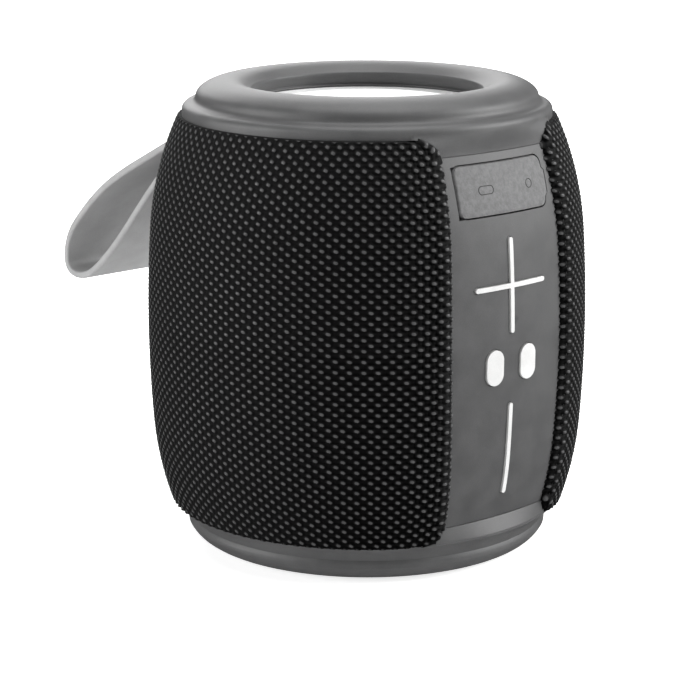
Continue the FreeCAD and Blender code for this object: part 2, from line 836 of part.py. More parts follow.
def button(name, face_loops, flange_loops, stem_at):
    """A button: its face in the panel's slot, a flange behind the panel and a stem to the switch."""
    low, high = s.panel_bottom - 1, s.panel_top + 1
    flange_front = s.panel_thickness + s.fit_gap
    flange_back = flange_front + s.key_flange
    reach = panel_solid(name + "_reach", -s.key_proud, low, high)
    hollow = panel_solid(name + "_hollow", flange_front + s.key_flange / 2, low, high)
    outlines = [padded(f"{name}_face_{index}", [loop], s.bottom_deck_hole, far)
                for index, loop in enumerate(face_loops)]
    outline = outlines[0] if len(outlines) == 1 else join(name + "_outline", *outlines)
    face = shared(name + "_face", outline, cut(name + "_face_layer", reach, hollow))
    plates = [padded(f"{name}_plate_{index}", [loop], s.bottom_deck_hole, far)
              for index, loop in enumerate(flange_loops)]
    plate = plates[0] if len(plates) == 1 else join(name + "_plates", *plates)
    layer = cut(name + "_flange_layer", panel_solid(name + "_flange_front", flange_front, low, high),
                panel_solid(name + "_flange_back", flange_back, low, high))
    flange = shared(name + "_flange", plate, layer)
    x, z = stem_at
    tip = s.board_front + s.switch_tall + s.plunger_reach
    stem_start = panel_face(z, x) - flange_front - s.key_flange / 2
    stem = cylinder(name + "_stem", s.stem_radius, stem_start - tip, (x, -stem_start, z), "Y")
    return node(name, join(name, face, flange, stem))


def buttons():
    faces = dict(key_loops(0))
    flanges = dict(key_loops(s.key_flange_rim))
    button("volume_up_button", [faces["plus_upright"], faces["plus_level"]],
           [flanges["plus_upright"], flanges["plus_level"]], (0, s.plus_height))
    button("volume_down_button", [faces["minus"]], [flanges["minus"]], (0, s.minus_height))
    button("power_button", [faces["power"]], [flanges["power"]], (-s.oval_side, s.oval_height))
    button("play_button", [faces["play"]], [flanges["play"]], (s.oval_side, s.oval_height))


TAG_THICKNESS = 1.4
LEAD_PLUGS = {
    "battery_plug": (-12.6, s.board_bottom + 18),
    "driver_plug": (12.6, s.board_bottom + 32),
}
SWITCHES = {
    "volume_up_plunger": (0, s.plus_height),
    "volume_down_plunger": (0, s.minus_height),
    "power_plunger": (-s.oval_side, s.oval_height),
    "play_plunger": (s.oval_side, s.oval_height),
}


def switches():
    """Push switches on the main board, one behind each button, each with its own plunger."""
    bodies = []
    front = s.board_front + s.switch_tall
    for name, (x, z) in SWITCHES.items():
        half = s.switch_body / 2
        body = box(name + "_body", (x - half, -front, z - half), (x + half, -s.board_front, z + half))
        deep = s.plunger_sunk + s.key_travel + 0.2
        bore = cylinder(name + "_bore", s.plunger_radius + 0.08, deep + 1, (x, -front - 1, z), "Y")
        bodies.append(cut(name + "_case", body, bore))
        length = s.plunger_reach + s.plunger_sunk
        node(name, cylinder(name, s.plunger_radius, length, (x, -front - s.plunger_reach, z), "Y"))
    node("tact_switches", group("tact_switches", *bodies))


# ---------------------------------------------------------------- boards and what is on them

def main_board():
    back = -s.board_front + s.board_thickness
    board = box("main_board_blank", (-s.board_half, -s.board_front, s.board_bottom),
                (s.board_half, back, s.board_top))
    holes = [cylinder(f"main_board_hole_{index}", s.screw_hole, s.board_thickness + 2,
                      (x, -s.board_front - 1, z), "Y")
             for index, (x, z) in enumerate(board_places())]
    node("main_board", cut("main_board", board, *holes))
    screws = [screw(f"board_screw_{index}", (x, back, z), s.board_thickness + 2.6, "Y", flip=True)
              for index, (x, z) in enumerate(board_places())]
    node("board_screws", group("board_screws", *screws))


def board_parts():
    back = -s.board_front + s.board_thickness
    module_low = s.board_top - 21
    node("bluetooth_module", box("bluetooth_module", (-7, back, module_low),
                                 (7, back + 2.4, module_low + 17)))
    node("amplifier_chip", box("amplifier_chip", (0, back, s.oval_height - 6),
                               (6, back + 1.2, s.oval_height)))
    cans = [cylinder(f"capacitor_{index}", 3.1, 7.0, (x, back, s.board_bottom + 7), "Y")
            for index, x in enumerate((-2.0, 5.4))]
    node("capacitors", group("capacitors", *cans))
    node("status_led", box("status_led", (-0.8, -s.board_front - 0.7, s.oval_height + 5.6),
                           (0.8, -s.board_front, s.oval_height + 7.0)))
    for name, (x, z) in LEAD_PLUGS.items():
        node(name, box(name, (x - 3, back, z - 2), (x + 3, back + 4.4, z + 2)))


def port_board():
    low, high = rail_top, port_board_top
    board = box("port_board_blank", (-s.port_board_half, -port_board_front, low),
                (s.port_board_half, -s.port_board_back, high))
    places = [(side * (s.port_board_half - 1.7), -rail_screw_back) for side in (-1, 1)]
    holes = [cylinder(f"port_board_hole_{index}", s.screw_hole, s.board_thickness + 2, (x, y, low - 1))
             for index, (x, y) in enumerate(places)]
    node("port_board", cut("port_board", board, *holes))
    screws = [screw(f"port_screw_{index}", (x, y, high), s.board_thickness + 1.8, "Z", flip=True)
              for index, (x, y) in enumerate(places)]
    node("port_board_screws", group("port_board_screws", *screws))
    header_back = -s.board_front + s.board_thickness
    node("link_header", box("link_header", (-6, header_back, s.board_top - 3),
                            (6, header_back + 2.5, low)))


TONGUE_SHORT = 0.8
TONGUE_BACK = 0.5


def socket(name, side, low, size, tongue_size):
    """A metal shell closed at the back, with the contact tongue inside it.

    size is (long, tall, deep); tongue_size is (long, low edge above the shell's, tall).
    """
    long, tall, deep = size
    tongue_long, tongue_low, tongue_tall = tongue_size
    skin = s.usb_skin
    front = panel_face(s.flap_height) - seat_back + 0.4
    left, right = side - long / 2, side + long / 2
    shell = box(name + "_shell", (left, -front, low), (right, -front + deep, low + tall))
    hollow = box(name + "_hollow", (left + skin, -front - 1, low + skin),
                 (right - skin, -front + deep - 1, low + tall - skin))
    tongue = box(name + "_tongue", (side - tongue_long / 2, -front + TONGUE_SHORT, low + tongue_low),
                 (side + tongue_long / 2, -front + deep - TONGUE_BACK, low + tongue_low + tongue_tall))
    return cut(name + "_case", shell, hollow), tongue, -front + deep


def sockets():
    """The two sockets on the port board; the small one stands on a riser."""
    tongue_low = s.usb_tall - s.usb_skin - 1.8 - (s.usb_tall - 2 * s.usb_skin) * 0.16
    case, tongue, _ = socket("usb_socket", s.usb_side, port_board_top,
                             (s.usb_long, s.usb_tall, s.usb_deep), (s.usb_long - 2.2, tongue_low, 1.8))
    node("usb_socket", join("usb_socket", case, tongue))
    low = s.flap_height - s.charge_tall / 2
    case, tongue, back = socket("charging_socket", s.charge_side, low,
                                (s.charge_long, s.charge_tall, s.charge_deep), (4, 1.0, 0.6))
    riser = box("charging_riser",
                (s.charge_side - s.charge_long / 2, -port_board_front + 0.6, port_board_top),
                (s.charge_side + s.charge_long / 2, back, low))
    node("charging_socket", join("charging_socket", riser, case, tongue))


# ---------------------------------------------------------------- top ring and passive radiator

cap_radius = barrel_at(s.cover_top, s.cover_thickness) - s.fit_gap


TAB_SUNK = 0.03
TAB_THINNER = 0.3


def tab(name, seam, edge, radius):
    """Tab of a ring that fills the panel window between the ring's seam and the panel.

    It turns from the ring's round section at the seam to the panel's flatter face at its edge.
    """
    thick = s.cap_wall.value - TAB_THINNER
    gap = s.fit_gap.value * 2
    corner = (s.window_corner - s.lip).value
    half = (s.window_half + s.lip).value - gap
    crown = (s.panel_crown - s.barrel_radius + barrel_at(edge)).value
    face = panel_face(edge).value
    wide = half + corner

    def section(height, radius_here, front, reach):
        centre = radius_here - front
        across = [-reach, 0.0, reach]
        outer = [Vector(x, centre - math.sqrt(radius_here ** 2 - x * x), height) for x in across]
        inner_radius = radius_here - thick
        inner = [Vector(x, centre - math.sqrt(inner_radius ** 2 - x * x), height) for x in across]
        edges = [
            Part.Arc(*outer).toShape(),
            Part.LineSegment(outer[2], inner[2]).toShape(),
            Part.Arc(inner[2], inner[1], inner[0]).toShape(),
            Part.LineSegment(inner[0], outer[0]).toShape(),
        ]
        return Part.Wire(edges)

    root = radius.value - TAB_SUNK
    loft = Part.makeLoft([section(seam.value, root, root, wide),
                          section(edge.value, crown, face, wide)], True, True)
    return solid_feature(name, loft)


def trimmed_tab(name, seam, edge, radius):
    """The tab, trimmed to the flared outline between the cover's rounded corners."""
    low, high = s.bottom_seam - 0.4, s.top_seam + 0.4
    outline = padded(name + "_outline", [window_loop(-2 * s.fit_gap, low, high)],
                     s.bottom_deck_hole, far)
    return shared(name, tab(name + "_loft", seam, edge, radius), outline)


def top_cap():
    """Top ring: a skirt, a soft groove, a broad crown and a mouth that narrows upwards."""
    wall = s.cap_wall
    seam = s.top_seam
    groove_radius = s.barrel_radius - 10.6
    mouth_height = s.crest_height - s.mouth_drop
    loop = [
        (cap_radius - wall, seam),
        (cap_radius, seam),
        (cap_radius, seam + 1.2),
        (cap_radius - 1.1, seam + 2.6, 1.8),
        (groove_radius, seam + 4.0, -5.0),
        (groove_radius - 1.4, seam + 5.7, 2.0),
        (s.crest_radius, s.crest_height, 16.0),
        (s.crest_radius - 1.6, s.crest_height - 0.55, 2.6),
        (s.mouth_radius + 0.5, mouth_height + 0.15, -9.0),
        (s.mouth_radius, mouth_height - 0.3, 0.45),
        (s.foot_radius, s.foot_height),
        (s.foot_radius + wall, s.foot_height),
        (s.mouth_radius + wall + 0.6, mouth_height - wall),
        (s.crest_radius - 0.4, s.crest_height - wall - 0.2),
        (groove_radius - wall - 1.0, seam + 4.4),
        (groove_radius - wall, seam + 2.6),
    ]
    ring = spun("top_ring", loop)
    low = s.top_deck_low + s.deck_thickness + s.frame_flange
    bosses, holes = [], []
    for index, (x, y) in enumerate(corner_places(s.cap_screw_circle)):
        bosses.append(cylinder(f"cap_boss_{index}", s.boss_radius, s.crest_height - 3 - low, (x, y, low)))
        holes.append(cylinder(f"cap_hole_{index}", s.screw_hole, s.crest_height - 5 - low, (x, y, low - 1)))
    front_tab = trimmed_tab("top_tab", seam + 0.4, s.panel_top + s.fit_gap * 3, cap_radius)
    return node("top_cap", cut("top_cap", join("top_cap_blank", ring, front_tab, *bosses), *holes))


def radiator():
    """Passive radiator: a white disc on a rolled rubber surround, in a frame under the top ring."""
    deck = s.top_deck_low + s.deck_thickness
    lip_top = s.foot_height - s.surround_skin
    wall_outer = s.foot_radius + s.frame_wall + 0.6
    wall_inner = wall_outer - s.frame_wall
    lip_inner = s.roll_outer + 0.5
    frame = spun("radiator_frame_ring", [
        (wall_inner, deck),
        (s.frame_reach, deck),
        (s.frame_reach, deck + s.frame_flange),
        (wall_outer, deck + s.frame_flange),
        (wall_outer, lip_top),
        (lip_inner, lip_top),
        (lip_inner, lip_top - 1.2),
        (wall_inner, lip_top - 1.2),
    ])
    holes = [cylinder(f"frame_hole_{index}", s.screw_hole, s.frame_flange + 2, (x, y, deck - 1))
             for index, (x, y) in enumerate(corner_places(s.cap_screw_circle))]
    node("radiator_frame", cut("radiator_frame", frame, *holes))
    skin = s.surround_skin
    half_roll = (s.roll_outer - s.roll_inner) / 2
    disc_top = s.foot_height + 0.2
    disc_low = disc_top - s.disc_thickness
    ledge_inner = s.disc_radius - 1.6
    ledge_top = disc_low - s.fit_gap
    roll_low = s.foot_height - skin
    surround = spun("radiator_surround", [
        (ledge_inner, ledge_top - skin),
        (s.roll_inner - 0.2, ledge_top - skin),
        (s.roll_outer + 0.2, roll_low, half_roll * 1.5),
        (wall_outer, roll_low),
        (wall_outer, s.foot_height),
        (s.roll_outer, s.foot_height),
        (s.roll_inner + 0.3, ledge_top, -half_roll * 1.5),
        (ledge_inner, ledge_top),
    ])
    node("radiator_surround", surround)
    node("radiator_diaphragm", spun("radiator_diaphragm", [
        (0, disc_low),
        (s.disc_radius, disc_low),
        (s.disc_radius, disc_top - 0.3),
        (s.disc_radius - 0.3, disc_top, 0.3001),
        (0, disc_top),
    ]))
    node("radiator_weight", cylinder("radiator_weight", s.weight_radius, s.weight_tall,
                                     (0, 0, disc_low - s.weight_tall)))
    screws = [screw(f"cap_screw_{index}", (x, y, s.top_deck_low), 7.0, "Z")
              for index, (x, y) in enumerate(corner_places(s.cap_screw_circle))]
    node("cap_screws", group("cap_screws", *screws))


# ---------------------------------------------------------------- bottom ring

base_radius = barrel_at(s.cover_bottom, s.cover_thickness) - s.fit_gap


def bottom_cap():
    """Bottom ring and floor: a skirt drawn in to a groove, a bead and a rounded base edge."""
    wall = s.cap_wall
    seam = s.bottom_seam
    groove = base_radius - 2.9
    lift = s.base_lift
    floor = lift + s.floor_thickness
    loop = [
        (0, s.foot_tall),
        (s.foot_radius_out, s.foot_tall),
        (s.foot_radius_out, lift),
        (base_radius - s.base_draw, lift),
        (groove + 0.3, lift + 3.2, 6.0),
        (groove, lift + 4.9, 2.2),
        (base_radius, seam - 0.4, -7.0),
        (base_radius, seam),
        (base_radius - s.wall - 2.6, seam),
        (groove - wall - 0.8, lift + 5.4),
        (groove - wall - 0.8, floor),
        (0, floor),
    ]
    ring = spun("bottom_ring", loop)
    posts, bores = [], []
    for index, (x, y) in enumerate(corner_places(s.base_screw_circle)):
        posts.append(cylinder(f"base_post_{index}", s.post_radius, s.bottom_deck_low - lift, (x, y, lift)))
        bores.append(cylinder(f"base_bore_{index}", s.counterbore, s.post_ledge + 1, (x, y, -1)))
        bores.append(cylinder(f"base_post_hole_{index}", s.screw_hole, s.bottom_deck_low, (x, y, 1)))
    for index, x in enumerate(holder_screw_sides()):
        start = (x, -s.cell_back, s.foot_tall + 0.2)
        bores.append(cylinder(f"holder_hole_{index}", s.screw_hole, s.floor_thickness, start))
    front_tab = trimmed_tab("bottom_tab", seam - 0.4, s.panel_bottom - s.fit_gap * 3, base_radius)
    node("bottom_cap", cut("bottom_cap", join("bottom_cap_blank", ring, front_tab, *posts), *bores))
    node("rubber_foot", cylinder("rubber_foot", s.foot_radius_out - 0.1, s.foot_tall, (0, 0, 0)))
    inside = barrel_at(seam, inner_inset) - 1.0
    node("base_gasket", spun("base_gasket", [
        (inside - 1.1, seam),
        (inside, seam),
        (inside, seam + 1.0),
        (inside - 1.1, seam + 1.0),
    ]))
    length = s.bottom_deck_low + s.deck_thickness + s.base_boss_tall - s.post_ledge - 1.6
    screws = [screw(f"base_screw_{index}", (x, y, s.post_ledge), length, "Z")
              for index, (x, y) in enumerate(corner_places(s.base_screw_circle))]
    node("base_screws", group("base_screws", *screws))


# ---------------------------------------------------------------- driver

def facing_back(thing, at=0):
    """Turn a piece made about Z so that its +Z faces +Y, at the driver's height."""
    return place(thing, 0, at, s.driver_height, Rotation(Vector(1, 0, 0), -90))


GASKET_TALL = 0.8


def driver_holes(name, start):
    """Holes for the four driver screws, starting at a distance along +Y."""
    return [cylinder(f"{name}_hole_{index}", s.screw_hole, 4, (x, start, s.driver_height + z), "Y")
            for index, (x, z) in enumerate(corner_places(s.driver_screw_circle))]


def driver_gasket():
    """Flat ring between the driver's flange and the baffle, with a hole for each screw."""
    ring = facing_back(spun("driver_gasket_ring", [
        (s.driver_hole, s.baffle_back - GASKET_TALL),
        (s.driver_flange, s.baffle_back - GASKET_TALL),
        (s.driver_flange, s.baffle_back),
        (s.driver_hole, s.baffle_back),
    ]))
    node("driver_gasket", cut("driver_gasket", ring, *driver_holes("gasket", s.baffle_back - 2)))


def driver_basket(flange_front, flange_back):
    """Pressed bowl with a flange, four windows and its screw holes."""
    small, floor = s.basket_small, s.basket_floor
    basket = facing_back(spun("basket_bowl", [
        (s.plate_hole + 0.5, floor),
        (small, floor),
        (small + s.steel / 2, floor + s.steel / 2),
        (s.driver_hole, flange_back),
        (s.driver_flange, flange_back),
        (s.driver_flange, flange_front),
        (s.driver_hole - 1.6, flange_front),
        (small - s.steel / 2, floor + s.steel),
        (s.plate_hole + 0.5, floor + s.steel),
    ]))
    windows = []
    for index, (x, z) in enumerate(((1, 0), (0, 1), (-1, 0), (0, -1))):
        low = (x * 14 - 6.5, floor + 2.2, s.driver_height + z * 14 - 6.5)
        high = (x * 14 + 6.5, flange_back - 1.6, s.driver_height + z * 14 + 6.5)
        windows.append(box(f"basket_window_{index}", low, high))
    holes = driver_holes("basket", flange_back - 1)
    node("driver_basket", cut("driver_basket", basket, *windows, *holes))


def driver():
    """Loudspeaker driver behind the baffle; heights in its outlines are distances along +Y."""
    flange_front = s.baffle_back - GASKET_TALL
    flange_back = flange_front - s.steel
    floor = s.basket_floor
    driver_gasket()
    driver_basket(flange_front, flange_back)
    screws = [screw(f"driver_screw_{index}", (x, flange_back, s.driver_height + z), s.driver_screw_long, "Y")
              for index, (x, z) in enumerate(corner_places(s.driver_screw_circle))]
    node("driver_screws", group("driver_screws", *screws))
    plate_low = floor - s.top_plate_tall
    node("driver_top_plate", facing_back(spun("driver_top_plate_ring", [
        (s.plate_hole, plate_low),
        (s.plate_radius, plate_low),
        (s.plate_radius, floor),
        (s.plate_hole, floor),
    ])))
    magnet_low = plate_low - s.magnet_tall
    node("driver_magnet", facing_back(spun("driver_magnet_ring", [
        (s.magnet_hole, magnet_low),
        (s.magnet_radius, magnet_low),
        (s.magnet_radius, plate_low),
        (s.magnet_hole, plate_low),
    ])))
    back_low = magnet_low - s.back_plate_tall
    node("driver_pole_piece", facing_back(spun("driver_pole_piece_ring", [
        (0, back_low),
        (s.plate_radius, back_low),
        (s.plate_radius, magnet_low),
        (s.pole_radius, magnet_low),
        (s.pole_radius, floor),
        (0, floor),
    ])))
    moving_parts(plate_low, floor, flange_front)
    node("driver_terminal", box("driver_terminal", (11.2, floor - TAG_THICKNESS, s.driver_height + 10.2),
                                (16.2, floor, s.driver_height + 14.6)))


def moving_parts(plate_low, floor, flange_front):
    former_outer = s.coil_inner + 0.2
    winding = s.coil_inner + s.coil_thickness
    neck = floor + 5.6
    node("voice_coil", facing_back(spun("voice_coil_former", [
        (s.coil_inner, plate_low + 0.2),
        (winding, plate_low + 0.2),
        (winding, floor - 0.2),
        (former_outer, floor - 0.2),
        (former_outer, neck + 1.0),
        (s.coil_inner, neck + 1.0),
    ])))
    rim = flange_front - s.cone_skin
    skin = s.cone_skin
    node("driver_cone", facing_back(spun("driver_cone_skin", [
        (former_outer + s.fit_gap, neck),
        (s.cone_outer, rim, -40.0),
        (s.cone_outer, rim + skin),
        (former_outer + s.fit_gap, neck + skin * 2, 40.0),
    ])))
    cap_low, cap_rise, cap_half = neck + 2.1, 2.0, s.coil_inner + 1.6
    ball = (cap_half * cap_half + cap_rise * cap_rise) / (2 * cap_rise)
    inner_ball = ball - skin
    inner_half = (inner_ball * inner_ball - (ball - cap_rise) * (ball - cap_rise)).root()
    node("dust_cap", facing_back(spun("dust_cap_dome", [
        (0, cap_low + cap_rise - skin),
        (inner_half, cap_low, -inner_ball),
        (cap_half, cap_low),
        (0, cap_low + cap_rise, ball),
    ])))
    clear = 0.12
    outer, inner = s.driver_hole - 0.3, s.cone_outer - 0.8
    roll = (outer - s.cone_outer - skin) / 2 - 0.3
    middle = (outer + s.cone_outer) / 2
    low = flange_front + s.fit_gap
    node("driver_surround", facing_back(spun("driver_surround_roll", [
        (inner, low),
        (middle - roll, low),
        (middle + roll, low, -(roll * 1.1)),
        (outer, low),
        (outer, low + skin),
        (middle + roll + skin, low + skin),
        (middle - roll - skin, low + skin, (roll + skin) * 1.1),
        (inner, low + skin),
    ])))
    spider_outer = s.basket_small - 0.2
    spider_low = floor + s.steel + 0.6
    loop_low, loop_high = [], []
    waves = 4
    start = former_outer + clear
    step = (spider_outer - start) / waves
    for index in range(waves + 1):
        rise = 0.0 if index % 2 == 0 else 0.9
        loop_low.append((start + step * index, spider_low + rise))
        loop_high.append((start + step * index, spider_low + rise + 0.3))
    node("driver_spider", facing_back(spun("driver_spider_rings", loop_low + loop_high[::-1])))


# ---------------------------------------------------------------- battery

def holder_screw_sides():
    reach = s.holder_half - 2.6
    return [-reach, reach]


cell_base = s.base_lift + s.floor_thickness + s.holder_floor + s.contact_thickness
cell_end = cell_base + s.cell_tall
contact_edge = s.cell_radius + 1.6 - s.cell_back


def battery():
    """Upright cell in an open cradle that stands on the floor of the bottom ring."""
    y = -s.cell_back
    node("battery_cell", spun_at("battery_cell", [
        (0, cell_base), (s.cell_radius - 0.5, cell_base), (s.cell_radius, cell_base + 0.5, 0.50005),
        (s.cell_radius, cell_end - 1.6), (s.cell_radius - 0.6, cell_end - 1.0, 0.7),
        (3.0, cell_end - 1.0), (3.0, cell_end), (0, cell_end)], y))
    low = s.base_lift + s.floor_thickness
    high = cell_end + s.contact_thickness + s.holder_wall
    side = s.cell_radius + 0.25 + s.holder_wall
    foot = box("holder_foot", (-s.holder_half, y - side, low),
               (s.holder_half, y + side * 0.75, low + s.holder_floor))
    back = box("holder_back", (-side, y - side, low), (side, y + 1.5, high))
    bore = cylinder("holder_bore", s.cell_radius + 0.25, cell_end + s.contact_thickness - low - s.holder_floor,
                    (0, y, low + s.holder_floor))
    open_front = box("holder_open_front", (-s.cell_radius - 0.25, y, low + s.holder_floor),
                     (s.cell_radius + 0.25, 0, cell_end + s.contact_thickness))
    holes = [cylinder(f"holder_screw_hole_{index}", s.screw_hole, 4, (x, y, low - 1))
             for index, x in enumerate(holder_screw_sides())]
    node("battery_holder", cut("battery_holder", join("holder_blank", foot, back), bore, open_front, *holes))
    plates = []
    for name, z in (("minus", low + s.holder_floor), ("plus", cell_end)):
        plates.append(box(f"contact_{name}", (-4, y - 6, z), (4, contact_edge, z + s.contact_thickness)))
    node("battery_contacts", group("battery_contacts", *plates))
    seat, length = low + s.holder_floor, s.holder_floor + 1.4
    screws = [screw(f"holder_screw_{index}", (x, y, seat), length, "Z", flip=True)
              for index, x in enumerate(holder_screw_sides())]
    node("holder_screws", group("holder_screws", *screws))


def spun_at(name, loop, y):
    return place(spun(name, loop), y=y)


# ---------------------------------------------------------------- leads

def rounded_path(points):
    """Straight runs joined by tangent arcs as large as the runs allow."""
    edges = []
    start = points[0]
    for before, corner, after in zip(points, points[1:], points[2:]):
        towards, away = before - corner, after - corner
        short = min(towards.Length, away.Length)
        turn = math.pi - towards.getAngle(away)
        trim = 0.45 * short
        radius = trim / math.tan(turn / 2)
        towards.normalize()
        away.normalize()
        first, last = corner + towards * trim, corner + away * trim
        bisector = (towards + away).normalize()
        centre = corner + bisector * math.hypot(radius, trim)
        middle = centre - bisector * radius
        edges.append(Part.LineSegment(start, first).toShape())
        edges.append(Part.Arc(first, middle, last).toShape())
        start = last
    edges.append(Part.LineSegment(start, points[-1]).toShape())
    return Part.Wire(edges)


def lead(name, points):
    """An insulated wire along its route; the first and last points touch what it joins."""
    spots = [Vector(*(Size.of(part).value for part in point)) for point in points]
    path = rounded_path(spots)
    circle = Part.Circle(spots[0], spots[1] - spots[0], s.lead_radius.value)
    tube = path.makePipeShell([Part.Wire([circle.toShape()])], True, True)
    return solid_feature(name, tube)


def leads():
    back = -s.board_front + s.board_thickness + 4.4
    battery_x, battery_z = LEAD_PLUGS["battery_plug"]
    driver_x, driver_z = LEAD_PLUGS["driver_plug"]
    y = -s.cell_back
    low = s.base_lift + s.floor_thickness + s.holder_floor
    top = cell_end + s.contact_thickness / 2
    side = s.cell_radius + 0.25 + s.holder_wall
    plus = lead("battery_plus_lead", [
        (battery_x - 1, back, battery_z + 1),
        (battery_x - 1, back + 4, battery_z + 1),
        (-side - 2.2, y - 2, battery_z + 10),
        (-side - 2.0, y + 6, cell_end - 22),
        (-side + 2, y + 14, cell_end - 8),
        (-2, contact_edge + 4, top),
        (-2, contact_edge, top),
    ])
    minus = lead("battery_minus_lead", [
        (battery_x + 1, back, battery_z - 1),
        (battery_x + 1, back + 4, battery_z - 1),
        (-side - 2.4, y - 3, battery_z - 9),
        (-side - 2.0, y + 7, low + 14),
        (-side + 3, y + 15, low + 5),
        (-2, contact_edge + 4, low + s.contact_thickness / 2),
        (-2, contact_edge, low + s.contact_thickness / 2),
    ])
    node("battery_leads", group("battery_leads", plus, minus))
    tag_back = s.basket_floor - TAG_THICKNESS
    pair = []
    for name, shift, x_end in (("driver_plus_lead", 1.0, 14.8), ("driver_minus_lead", -1.0, 12.2)):
        pair.append(lead(name, [
            (driver_x + shift, back, driver_z + shift),
            (driver_x + shift, back + 5, driver_z + shift),
            (side + 4.4 + shift, y - 2, driver_z + 3),
            (side + 5.4 + shift, y + 12, driver_z + 6),
            (x_end, tag_back - 8, s.driver_height + 12.4),
            (x_end, tag_back, s.driver_height + 12.4),
        ]))
    node("driver_leads", group("driver_leads", *pair))


# ---------------------------------------------------------------- strap

strap_pivot_y = barrel_at(s.strap_height) + s.strap_standoff


def band_edge(route, shift):
    """One face of the band: its route, moved sideways by shift."""
    steps = 28
    first, last = route.FirstParameter, route.LastParameter
    spots = []
    for step in range(steps + 1):
        where = first + (last - first) * step / steps
        sideways = Vector(1, 0, 0).cross(Vector(*route.tangent(where)[0]))
        spots.append(route.value(where) + sideways * shift)
    edge = Part.BSplineCurve()
    edge.interpolate(spots)
    return edge


def strap():
    """A band of rubber that runs out from an eyelet, round a wide nose and straight back."""
    reach, bulge = s.strap_reach.value, s.strap_bulge.value
    half = s.strap_thickness.value / 2
    width = 2 * s.strap_half.value
    leaf = (half + 0.2) / bulge
    shape = [(0.0, leaf), (0.24, 0.45), (0.55, 0.88), (0.78, 1.0), (0.93, 0.90), (0.993, 0.62),
             (0.955, 0.33), (0.83, 0.12), (0.60, 0.045), (0.30, 0.04), (0.0, -leaf)]
    route = Part.BSplineCurve()
    route.interpolate([Vector(0, reach * along, bulge * across) for along, across in shape])
    outer, inner = band_edge(route, half), band_edge(route, -half)
    ends = [Part.LineSegment(outer.value(outer.LastParameter), inner.value(inner.LastParameter)),
            Part.LineSegment(inner.value(inner.FirstParameter), outer.value(outer.FirstParameter))]
    outline = Part.Wire([outer.toShape(), ends[0].toShape(), inner.toShape(), ends[1].toShape()])
    band = Part.Face(outline).extrude(Vector(width, 0, 0))
    start, along = Vector(0, 0, 0), Vector(1, 0, 0)
    eyelet = Part.makeCylinder(s.eyelet_radius.value, width, start, along)
    bore = Part.makeCylinder((s.pin_radius + s.pin_gap).value, width, start, along)
    thing = solid_feature("strap", band.fuse(eyelet).cut(bore).removeSplitter())
    turned = Rotation(Vector(1, 0, 0), -s.strap_angle.value)
    place(thing, -s.strap_half, strap_pivot_y, s.strap_height, turned)
    node("strap", thing)
    length = 2 * (s.strap_half + s.ear_gap + s.ear_thickness) - 0.4
    node("strap_pin", cylinder("strap_pin", s.pin_radius, length,
                               (-length / 2, strap_pivot_y, s.strap_height), "X"))


def strap_bracket():
    """Bracket that passes out through the wall and holds the strap's pin between two ears."""
    inner = s.bracket_plate_front - s.bracket_plate
    block = shared("bracket_block", bracket_box("bracket_core", 0, s.bracket_plate_front, far),
                   barrel_solid("bracket_barrel", -s.bracket_proud, s.bottom_deck_low, s.top_deck_low))
    plate = box("bracket_flange", (-s.bracket_reach, inner, s.strap_height - s.bracket_tall / 2 - 0.4),
                (s.bracket_reach, s.bracket_plate_front, s.strap_height + s.bracket_tall / 2 + 0.4))
    ears = []
    ear_radius = s.bracket_tall / 2 - 1.4
    for side in (-1, 1):
        near = side * (s.strap_half + s.ear_gap)
        start = near if side > 0 else near - s.ear_thickness
        name = f"bracket_ear_{side + 1}"
        ears.append(cylinder(name, ear_radius, s.ear_thickness, (start, strap_pivot_y, s.strap_height), "X"))
        ears.append(box(name + "_root", (start, s.bracket_plate_front, s.strap_height - ear_radius),
                        (start + s.ear_thickness, strap_pivot_y, s.strap_height + ear_radius)))
    length = 2 * (s.strap_half + s.ear_gap + s.ear_thickness) + 2
    bore = cylinder("bracket_bore", s.pin_radius + 0.02, length,
                    (-length / 2, strap_pivot_y, s.strap_height), "X")
    holes, screws = [], []
    for side in (-1, 1):
        x = side * s.bracket_screw_side
        holes.append(cylinder(f"bracket_screw_hole_{side + 1}", s.screw_hole, 4,
                              (x, inner - 1, s.strap_height), "Y"))
        screws.append(screw(f"bracket_screw_{side + 1}", (x, inner, s.strap_height),
                            s.bracket_plate + 1.3, "Y"))
    node("strap_bracket", cut("strap_bracket", join("bracket_blank", block, plate, *ears), bore, *holes))
    node("bracket_screws", group("bracket_screws", *screws))


# ---------------------------------------------------------------- build, check and write

def build():
    ring = housing_ring()
    front_housing(ring)
    rear_housing(ring)
    fabric_wrap()
    control_panel()
    panel_gasket()
    port_cover()
    buttons()
    switches()
    main_board()
    board_parts()
    port_board()
    sockets()
    top_cap()
    radiator()
    bottom_cap()
    driver()
    battery()
    leads()
    strap()
    strap_bracket()
    doc.recompute()


def check():
    """Stop if any object failed or any sub-part has no valid solid."""
    faults = [thing.Name for thing in doc.Objects if set(thing.State) & {"Invalid", "Error"}]
    for thing in nodes:
        shape = thing.Shape
        if shape.isNull() or not shape.isValid() or not shape.Solids:
            faults.append(thing.Label)
    if faults:
        raise SystemExit("failed: " + ", ".join(faults))


def write():
    os.makedirs("parts", exist_ok=True)
    for thing in nodes:
        thing.Shape.exportStep(f"parts/{thing.Label}.step")
        print(f"{thing.Label}: {len(thing.Shape.Solids)} solids, {thing.Shape.Volume:.1f} mm3")


build()
check()
write()
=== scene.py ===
"""Compact shower speaker: woven cover, satin rings, control strip, socket flap and carrying loop.

Every length is in metres unless its name says otherwise.  The speaker stands on the floor with
its control strip towards -Y and its carrying loop towards +Y.
"""
from __future__ import annotations

import json
import logging
import math
from dataclasses import dataclass, field
from enum import Enum

